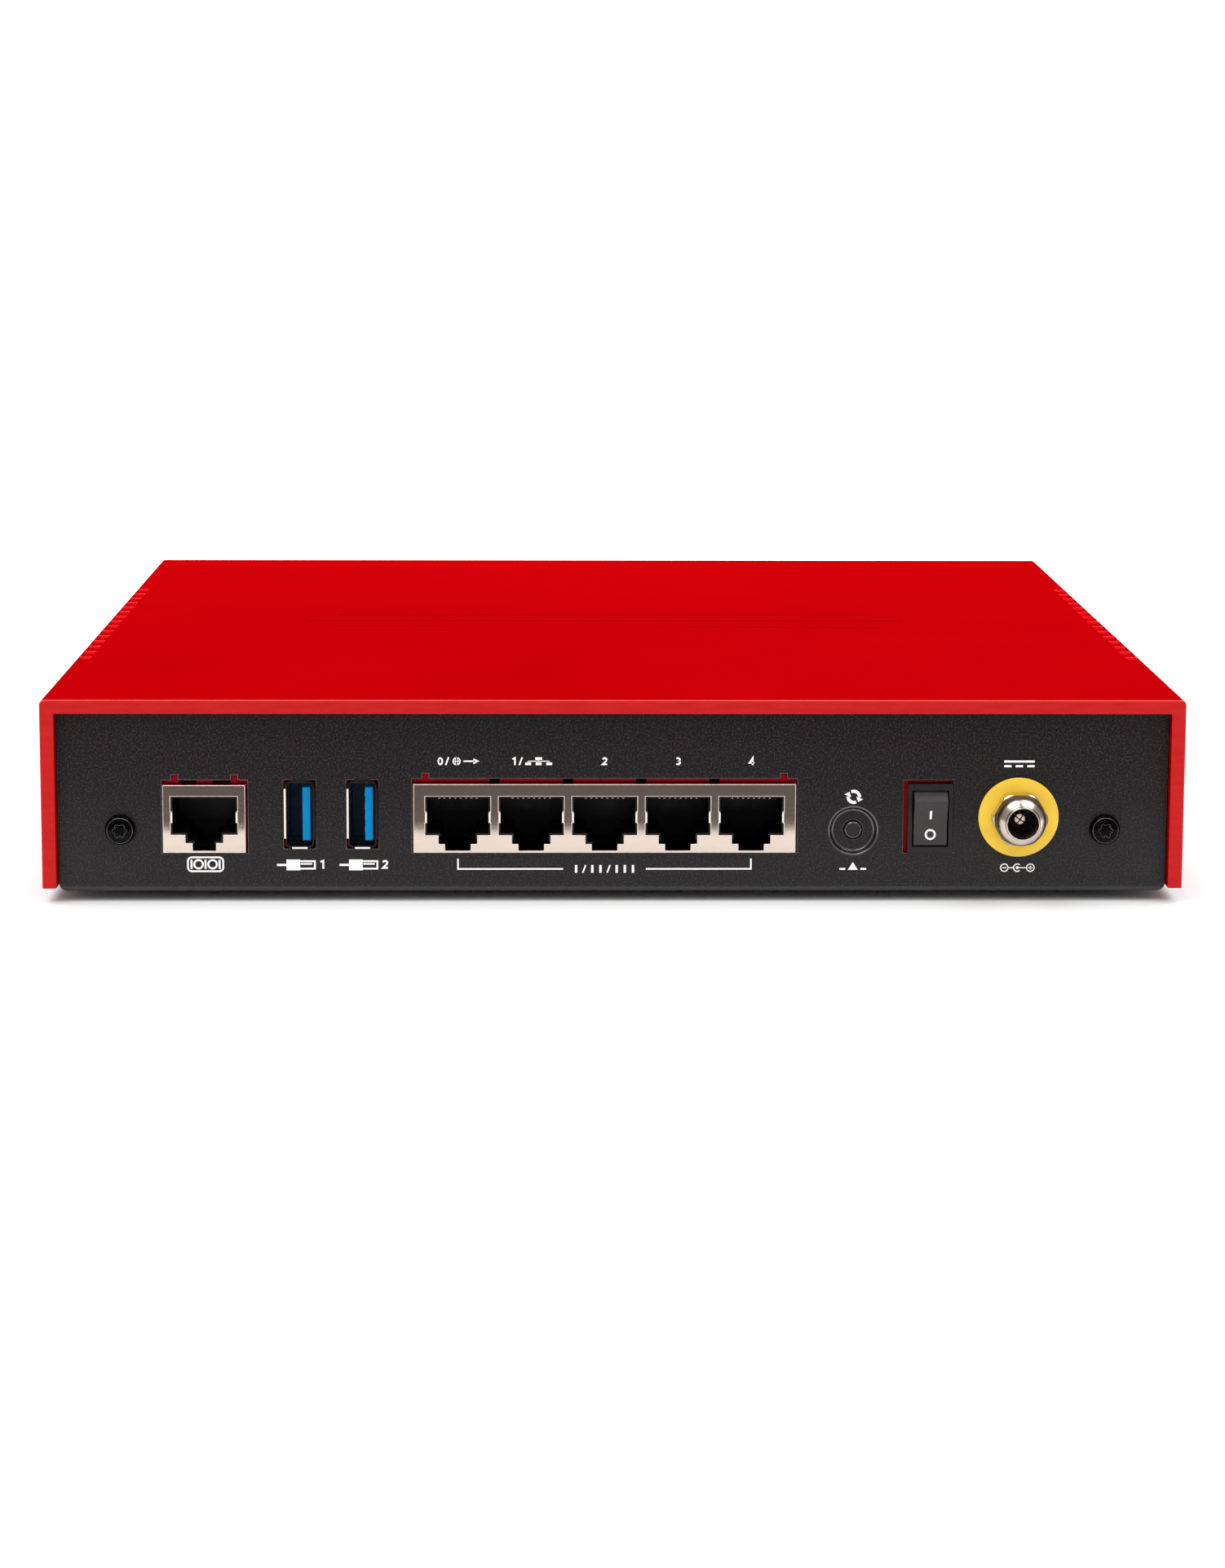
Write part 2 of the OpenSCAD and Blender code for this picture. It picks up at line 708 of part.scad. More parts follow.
module dc_jack_barrel() {
    color([0.72, 0.71, 0.7]) {
        difference() {
            union() {
                // collar, then a sleeve that tapers to a short lip at the tip
                turned_y(inlet_x, inlet_z, [[0, inlet_tip], [3.12, inlet_tip],
                    [3.26, inlet_tip + 0.14], [3.3, inlet_tip + 0.45], [3.42, inlet_tip + 0.55],
                    [3.9, inlet_tip + 1], [4.3, inlet_tip + 1.45], [4.56, inlet_tip + 1.9],
                    [4.72, inlet_tip + 2.4], [4.8, inlet_tip + 3], [4.82, hex_front + 0.2],
                    [0, hex_front + 0.2]]);
                // hexagon with its corners turned off
                intersection() {
                    hexagon_y(9.7, [hex_front, hex_front + hex_t]);
                    turned_y(inlet_x, inlet_z, [[0, hex_front], [4.95, hex_front],
                        [5.3, hex_front + 0.35], [5.3, hex_front + hex_t], [0, hex_front + hex_t]]);
                }
                rod_y(thread_r, inlet_x, [panel_y - washer_t - 0.5, inlet_back], inlet_z);
            }
            // entry bore that guides the plug, and a wider bore behind it
            rod_y(inlet_r, inlet_x, [inlet_tip - past, inlet_tip + entry_len], inlet_z);
            rod_y(socket_r, inlet_x, [inlet_tip + entry_len, inlet_back + past], inlet_z);
        }
        // solder tab of the sleeve
        block([inlet_x + 3.4, inlet_x + 3.9], [inlet_back - 1, inlet_back + 3.6],
            [inlet_z - 0.8, inlet_z + 0.8]);
    }
}

module dc_nut() {
    color([0.76, 0.75, 0.73]) difference() {
        hexagon_y(11, [panel_in, panel_in + 2.4]);
        rod_y(thread_r + 0.02, inlet_x, [panel_in - past, panel_in + 4], inlet_z);
    }
}

module dc_jack_insulator() {
    color([0.07, 0.07, 0.07]) difference() {
        rod_y(socket_r, inlet_x, [panel_in + 3, inlet_back + 0.8], inlet_z);
        rod_y(inlet_pin_r, inlet_x, [panel_in, inlet_back + 3], inlet_z);
    }
}

// Centre pin split into four springs, with its solder tail at the back
module dc_jack_pin() {
    tip = inlet_tip + 4.5;
    color([0.85, 0.72, 0.55]) difference() {
        turned_y(inlet_x, inlet_z, [[0, tip], [inlet_pin_r - 0.3, tip],
            [inlet_pin_r, tip + 0.4], [inlet_pin_r, inlet_back + 3.6], [0, inlet_back + 3.6]]);
        for (turn = [35, 125])
            translate([inlet_x, 0, inlet_z]) rotate([0, turn, 0])
                block([-0.12, 0.12], [tip - past, tip + 5], [-2, 2]);
    }
}

// Lead that runs back from the inlet and bends down into the board header
module dc_lead(x) {
    rod_y(lead_r, x, [inlet_back + 3.6, lead_bend_y], inlet_z);
    translate([x, lead_bend_y, inlet_z - lead_bend_r]) rotate([90, 0, 90])
        rotate_extrude(angle = 90) translate([lead_bend_r, 0]) circle(lead_r);
    rod_z(lead_r, x, lead_bend_y + lead_bend_r, [header_top, inlet_z - lead_bend_r]);
}

module dc_lead_positive() { color([0.75, 0.08, 0.08]) dc_lead(inlet_x); }
module dc_lead_negative() { color([0.08, 0.08, 0.08]) dc_lead(inlet_x + lead_gap); }

module dc_board_header() {
    color([0.9, 0.88, 0.8])
        standing(inlet_x + lead_gap / 2, lead_bend_y + lead_bend_r, board_top,
            [8, 5, header_top - board_top]);
}

// ---- Parts on the main board ----

module heatsink_pin_place(s) {
    translate([s * (sink_w / 2 + 3), cpu_y + s * (sink_w / 2 - 5), 0]) children();
}

module processor() {
    color([0.2, 0.21, 0.22]) {
        standing(0, cpu_y, board_top, [27, 27, 0.8]);
        standing(0, cpu_y, board_top + 0.8, [16, 16, cpu_t - 0.8]);
    }
}

module thermal_pad() {
    color([0.6, 0.75, 0.8]) standing(0, cpu_y, board_top + cpu_t, [18, 18, pad_t]);
}

module heatsink() {
    step = (sink_w - fin_t) / (fin_count - 1);
    color([0.15, 0.15, 0.16]) difference() {
        union() {
            standing(0, cpu_y, sink_low, [sink_w, sink_w, sink_base]);
            for (s = [-1, 1]) heatsink_pin_place(s)
                standing(-s * 0.5, 0, sink_low, [9, 10, sink_base]);
            for (i = [0 : fin_count - 1])
                standing(-sink_w / 2 + fin_t / 2 + i * step, cpu_y, sink_low,
                    [fin_t, sink_w, sink_top - sink_low]);
        }
        for (s = [-1, 1]) heatsink_pin_place(s) rod_z(1.6, 0, 0, [board_top, sink_top]);
        // cross channel through the fins
        standing(0, cpu_y, sink_low + sink_base, [sink_w - 6, 4, sink_top]);
    }
}

module heatsink_pins() {
    seat = sink_low + sink_base;
    color([0.9, 0.9, 0.88]) for (s = [-1, 1]) heatsink_pin_place(s)
        turned_z(0, 0, [[0, board_low - 1.5], [1, board_low - 1.5], [1.5, board_low - 0.2],
            [1.5, seat], [3, seat], [3, seat + 1], [1.8, seat + 1.5], [1.8, seat + 5],
            [2.6, seat + 5], [2.6, seat + 6], [0, seat + 6]]);
}

module memory_chips() {
    color([0.1, 0.1, 0.11]) for (x = [-48, 44], y = [cpu_y - 9, cpu_y + 9])
        standing(x, y, board_top, [9, 13, 1.1]);
}

module flash_chip() {
    color([0.1, 0.1, 0.11]) standing(-46, 44, board_top, [11.5, 13, 1]);
}

module switch_chip() {
    color([0.12, 0.12, 0.13]) {
        standing(lan_x, -46, board_top + 0.1, [20, 20, 1.3]);
        for (s = [-1, 1], i = [-8 : 8]) {
            standing(lan_x + s * 10.8, -46 + i * 1.1, board_top, [1.8, 0.45, 0.5]);
            standing(lan_x + i * 1.1, -46 + s * 10.8, board_top, [0.45, 1.8, 0.5]);
        }
    }
}

module lan_transformers() {
    color([0.09, 0.09, 0.1]) for (x = port_xs(lan_x, port_count))
        standing(x, -70, board_top, [11.5, 10, 5.4]);
}

module power_inductors() {
    color([0.2, 0.2, 0.21]) for (p = [[58, -40], [72, -40], [58, -26]]) {
        standing(p[0], p[1], board_top, [10.5, 10.5, 3.2]);
        rod_z(4.6, p[0], p[1], [board_top + 3.2, board_top + 4.6]);
    }
}

module electrolytic_capacitors() {
    color([0.7, 0.72, 0.76]) for (p = [[60, -60], [90, -56], [90, -44], [90, -32], [-88, -50]]) {
        standing(p[0], p[1], board_top, [8.4, 8.4, 1]);
        turned_z(p[0], p[1], [[0, board_top + 1], [3.8, board_top + 1], [4, board_top + 1.6],
            [3.7, board_top + 2.1], [4, board_top + 2.6], [4, board_top + 9.6],
            [3.5, board_top + 10], [0, board_top + 10]]);
    }
}

module crystals() {
    color([0.78, 0.78, 0.76]) for (p = [[-26, -44], [22, -44], [-24, 50]])
        translate([p[0], p[1], board_top]) linear_extrude(3.4)
            round_rect([-5.5, -2.3], [5.5, 2.3], 2.2);
}

module coin_cell_holder() {
    color([0.07, 0.07, 0.07]) difference() {
        rod_z(12, -76, 44, [board_top, board_top + 3.6]);
        rod_z(10.15, -76, 44, [board_top + 0.8, board_top + 6]);
        standing(-76, 32, board_top + 0.8, [10, 10, 6]);
    }
}

module coin_cell() {
    color([0.8, 0.8, 0.8]) turned_z(-76, 44, [[0, board_top + 0.8], [9.2, board_top + 0.8],
        [9.2, board_top + 1.3], [10, board_top + 1.6], [10, board_top + 3.7],
        [9.7, board_top + 4], [0, board_top + 4]]);
}

module debug_header() {
    color([0.08, 0.08, 0.08]) standing(74, 62, board_top, [5.1, 12.8, 2.5]);
    color([0.85, 0.7, 0.35]) for (i = [-2 : 2], s = [-1, 1])
        standing(74 + s * 1.27, 62 + i * 2.54, board_top + 2, [0.64, 0.64, 6.5]);
}

// Small two-ended parts in regular groups
module chip_components() {
    color([0.6, 0.5, 0.4]) {
        for (i = [0 : 9]) standing(-27 + i * 6, -24, board_top, [1.6, 0.8, 0.6]);
        for (i = [0 : 11]) standing(-30 + i * 5.4, -61, board_top, [1.6, 0.8, 0.6]);
        for (i = [0 : 7], s = [-1, 1]) standing(-59 + 5 * s, -10 + i * 5, board_top, [0.8, 1.6, 0.6]);
        for (i = [0 : 7]) standing(led_x(i) + 2.6, led_y - 5, board_top, [0.8, 1.6, 0.5]);
    }
}

top_cover();
chassis_tray();
led_window();
light_pipes();
rear_cover_screws();
rubber_foot(0);  // rubber_foot_1
rubber_foot(1);  // rubber_foot_2
rubber_foot(2);  // rubber_foot_3
rubber_foot(3);  // rubber_foot_4
rating_label();
insulator_sheet();
board_standoffs();
board_screws();
main_board();
console_jack_shield();
console_jack_housing();
console_jack_contacts();
lan_jack_shield();
lan_jack_housing();
lan_jack_contacts();
usb_1_shell();
usb_1_insulator();
usb_1_contacts();
usb_2_shell();
usb_2_insulator();
usb_2_contacts();
reset_button();
reset_switch();
power_switch_body();
power_rocker();
power_switch_terminals();
dc_washer();
dc_nut();
dc_jack_barrel();
dc_jack_insulator();
dc_jack_pin();
dc_lead_positive();
dc_lead_negative();
dc_board_header();
processor();
thermal_pad();
heatsink();
heatsink_pins();
memory_chips();
flash_chip();
switch_chip();
lan_transformers();
power_inductors();
electrolytic_capacitors();
crystals();
coin_cell_holder();
coin_cell();
status_leds();
debug_header();
chip_components();
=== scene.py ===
"""Looks of the desktop firewall appliance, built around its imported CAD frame.

The connector side faces -Y, +X is to its right and +Z is up. Blender works in metres;
lengths written in millimetres are multiplied by MM.
"""

import json
import math

import bmesh
import bpy
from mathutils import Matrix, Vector


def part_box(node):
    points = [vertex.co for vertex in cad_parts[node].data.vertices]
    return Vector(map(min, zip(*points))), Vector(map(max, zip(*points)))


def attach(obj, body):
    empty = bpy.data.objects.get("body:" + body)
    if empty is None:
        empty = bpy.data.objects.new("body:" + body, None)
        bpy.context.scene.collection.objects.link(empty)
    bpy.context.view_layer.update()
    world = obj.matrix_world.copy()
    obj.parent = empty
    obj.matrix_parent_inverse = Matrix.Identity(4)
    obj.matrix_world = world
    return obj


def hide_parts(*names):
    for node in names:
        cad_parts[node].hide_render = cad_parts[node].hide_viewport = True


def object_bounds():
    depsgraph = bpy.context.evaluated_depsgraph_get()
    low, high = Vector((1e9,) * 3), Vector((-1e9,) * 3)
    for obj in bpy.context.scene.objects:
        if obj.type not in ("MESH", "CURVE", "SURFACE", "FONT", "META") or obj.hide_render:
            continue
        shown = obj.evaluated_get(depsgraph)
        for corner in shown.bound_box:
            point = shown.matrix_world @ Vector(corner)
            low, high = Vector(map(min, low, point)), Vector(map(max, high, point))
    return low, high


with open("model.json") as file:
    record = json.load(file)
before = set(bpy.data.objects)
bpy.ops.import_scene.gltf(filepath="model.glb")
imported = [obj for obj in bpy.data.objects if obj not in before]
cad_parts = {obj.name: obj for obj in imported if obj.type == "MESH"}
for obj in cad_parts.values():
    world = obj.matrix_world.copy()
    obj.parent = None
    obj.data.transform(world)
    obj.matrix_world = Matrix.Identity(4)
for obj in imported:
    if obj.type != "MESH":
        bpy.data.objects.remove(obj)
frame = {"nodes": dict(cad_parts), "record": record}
cad_low, cad_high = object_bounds()

MM = 0.001
NODES = frame["nodes"]
RECORD = frame["record"]
SLOT_OF = {part["node"]: part["material_slot"] for part in RECORD["subparts"]}
BODY_OF = {
    node: body for body, members in RECORD["behaviour"]["bodies"].items() for node in members
}


# ---- Camera, floor and light ----

# Strength of the surroundings for diffuse light and in reflections
WORLD_FILL = 0.55
WORLD_REFLECTED = 0.3
# Where the dark card in front of the object ends, in metres along Y
CARD_EDGE = -0.163


def add_object(name, data):
    """A new object in the scene, at the frame's origin."""
    obj = bpy.data.objects.new(name, data)
    bpy.context.scene.collection.objects.link(obj)
    return obj


def make_camera():
    """Faces the connector side from a little above it."""
    data = bpy.data.cameras.new("camera")
    data.sensor_width = 36
    data.lens = 78
    data.shift_y = -0.12
    camera = add_object("camera", data)
    camera.location = Vector((-11.9, -732.7, 148.7)) * MM
    tilt, roll, pan = math.radians(90 - 8.04), math.radians(-0.2), math.radians(-1.01)
    camera.rotation_euler = (tilt, roll, pan)
    bpy.context.scene.camera = camera


def plane(name, corner_a, corner_b, height, material):
    """A level rectangle from corner_a to corner_b, in metres."""
    mesh = bpy.data.meshes.new(name)
    corners = [
        (x, y, height)
        for x, y in (
            (corner_a[0], corner_a[1]),
            (corner_b[0], corner_a[1]),
            (corner_b[0], corner_b[1]),
            (corner_a[0], corner_b[1]),
        )
    ]
    mesh.from_pydata(corners, [], [(0, 1, 2, 3)])
    mesh.materials.append(material)
    obj = add_object(name, mesh)
    return obj


def sun(name, direction, strength, spread, colour=(1, 1, 1)):
    """Even light from a direction, which points at the scene; spread in degrees."""
    data = bpy.data.lights.new(name, "SUN")
    data.energy = strength
    data.angle = math.radians(spread)
    data.color = colour
    light = add_object(name, data)
    light.rotation_euler = Vector(direction).to_track_quat("-Z", "Y").to_euler()
    return light


def area_light(name, place, target, size, power, colour=(1, 1, 1)):
    """A soft rectangular light at place, aimed at target."""
    data = bpy.data.lights.new(name, "AREA")
    data.shape = "RECTANGLE"
    data.size, data.size_y = size
    data.energy = power
    data.color = colour
    light = add_object(name, data)
    light.location = place
    aim = Vector(target) - Vector(place)
    light.rotation_euler = aim.to_track_quat("-Z", "Y").to_euler()
    return light


def make_world():
    """White behind the object, an even fill for diffuse light, dim in reflections."""
    world = bpy.data.worlds.new("studio")
    bpy.context.scene.world = world
    world.use_nodes = True
    tree = world.node_tree
    path = tree.nodes.new("ShaderNodeLightPath")
    fill = tree.nodes.new("ShaderNodeMath")
    fill.operation = "MULTIPLY_ADD"
    fill.inputs[1].default_value = WORLD_FILL
    fill.inputs[2].default_value = WORLD_REFLECTED
    seen = tree.nodes.new("ShaderNodeMath")
    seen.operation = "MAXIMUM"
    tree.links.new(path.outputs["Is Diffuse Ray"], fill.inputs[0])
    tree.links.new(path.outputs["Is Camera Ray"], seen.inputs[0])
    tree.links.new(fill.outputs[0], seen.inputs[1])
    background = tree.nodes["Background"]
    background.inputs["Color"].default_value = (1, 1, 1, 1)
    tree.links.new(seen.outputs[0], background.inputs["Strength"])


def make_stage():
    """Pale floor, soft lights, and a dark card that only reflections see."""
    make_world()
    pale = finish("stage_floor", [(0.82, 0.82, 0.82), (0.84, 0.84, 0.84)], (0.7, 0.8), grain=3)
    plane("floor", (-6, -6), (6, 14), 0, pale)
    dark = finish("stage_card", [(0.07, 0.062, 0.059), (0.084, 0.075, 0.071)], (0.9, 0.95), grain=5)
    card = plane("reflection_card", (-0.9, -1.5), (0.9, CARD_EDGE), 0.3 * MM, dark)
    card.visible_camera = False
    card.visible_diffuse = False
    card.visible_shadow = False
    sun("left_sun", (0.45, 0.12, -1), 1.12, 38)
    sun("right_sun", (-0.45, 0.12, -1), 1.12, 38)
    back = area_light("back_light", (0, 0.75, 0.6), (0, 0.1, 0), (1.2, 0.4), 11)
    back.visible_glossy = False
    area_light("front_light", (-0.25, -0.9, 1.1), (0, -0.1, 0.02), (0.8, 0.5), 3.6, (1, 0.98, 0.96))
    bpy.context.scene.view_settings.view_transform = "Standard"


# ---- Materials ----


def finish(
    name,
    colours,
    roughness,
    grain=400,
    stretch=(1, 1, 1),
    bump=None,
    speckle=None,
    sockets=None,
):
    """A Principled material whose colour, roughness and relief vary with noise.

    colours: two or three colours that the noise runs through
    roughness: lowest and highest value
    grain: the noise's cycles per metre, drawn out along an axis by stretch
    bump: (cycles per metre, depth in mm) of the relief
    speckle: (cycles per metre, colour, share) of fine dots over the base colour
    sockets: values of the shader's other inputs, by name
    """
    material = bpy.data.materials.new(name)
    material.use_nodes = True
    tree = material.node_tree
    link = tree.links.new
    shader = tree.nodes["Principled BSDF"]
    coordinates = tree.nodes.new("ShaderNodeTexCoord")
    mapping = tree.nodes.new("ShaderNodeMapping")
    mapping.inputs["Scale"].default_value = stretch
    link(coordinates.outputs["Object"], mapping.inputs["Vector"])

    def noise(scale, detail):
        node = tree.nodes.new("ShaderNodeTexNoise")
        node.inputs["Scale"].default_value = scale
        node.inputs["Detail"].default_value = detail
        link(mapping.outputs["Vector"], node.inputs["Vector"])
        return node.outputs["Fac"]

    base = noise(grain, 4)
    ramp = tree.nodes.new("ShaderNodeValToRGB")
    stops = ramp.color_ramp.elements
    while len(stops) < len(colours):
        stops.new(0.5)
    for i, colour in enumerate(colours):
        stops[i].position = 0.32 + 0.36 * i / (len(colours) - 1)
        stops[i].color = (*colour, 1)
    link(base, ramp.inputs["Fac"])
    colour_out = ramp.outputs["Color"]
    if speckle:
        scale, dot_colour, share = speckle
        mask = tree.nodes.new("ShaderNodeMapRange")
        mask.inputs["From Min"].default_value = 1 - share
        mask.inputs["From Max"].default_value = 1.05 - share
        link(noise(scale, 2), mask.inputs["Value"])
        mix = tree.nodes.new("ShaderNodeMix")
        mix.data_type = "RGBA"
        factor, first, second = mix.inputs[0], mix.inputs[6], mix.inputs[7]
        second.default_value = (*dot_colour, 1)
        link(mask.outputs["Result"], factor)
        link(colour_out, first)
        colour_out = mix.outputs[2]
    link(colour_out, shader.inputs["Base Color"])
    rough = tree.nodes.new("ShaderNodeMapRange")
    rough.inputs["From Min"].default_value = 0.3
    rough.inputs["From Max"].default_value = 0.7
    rough.inputs["To Min"].default_value = roughness[0]
    rough.inputs["To Max"].default_value = roughness[1]
    link(base, rough.inputs["Value"])
    link(rough.outputs["Result"], shader.inputs["Roughness"])
    if bump:
        relief = tree.nodes.new("ShaderNodeBump")
        relief.inputs["Distance"].default_value = bump[1] * MM
        link(noise(bump[0], 3), relief.inputs["Height"])
        link(relief.outputs["Normal"], shader.inputs["Normal"])
    for socket, value in (sockets or {}).items():
        shader.inputs[socket].default_value = value
    return material


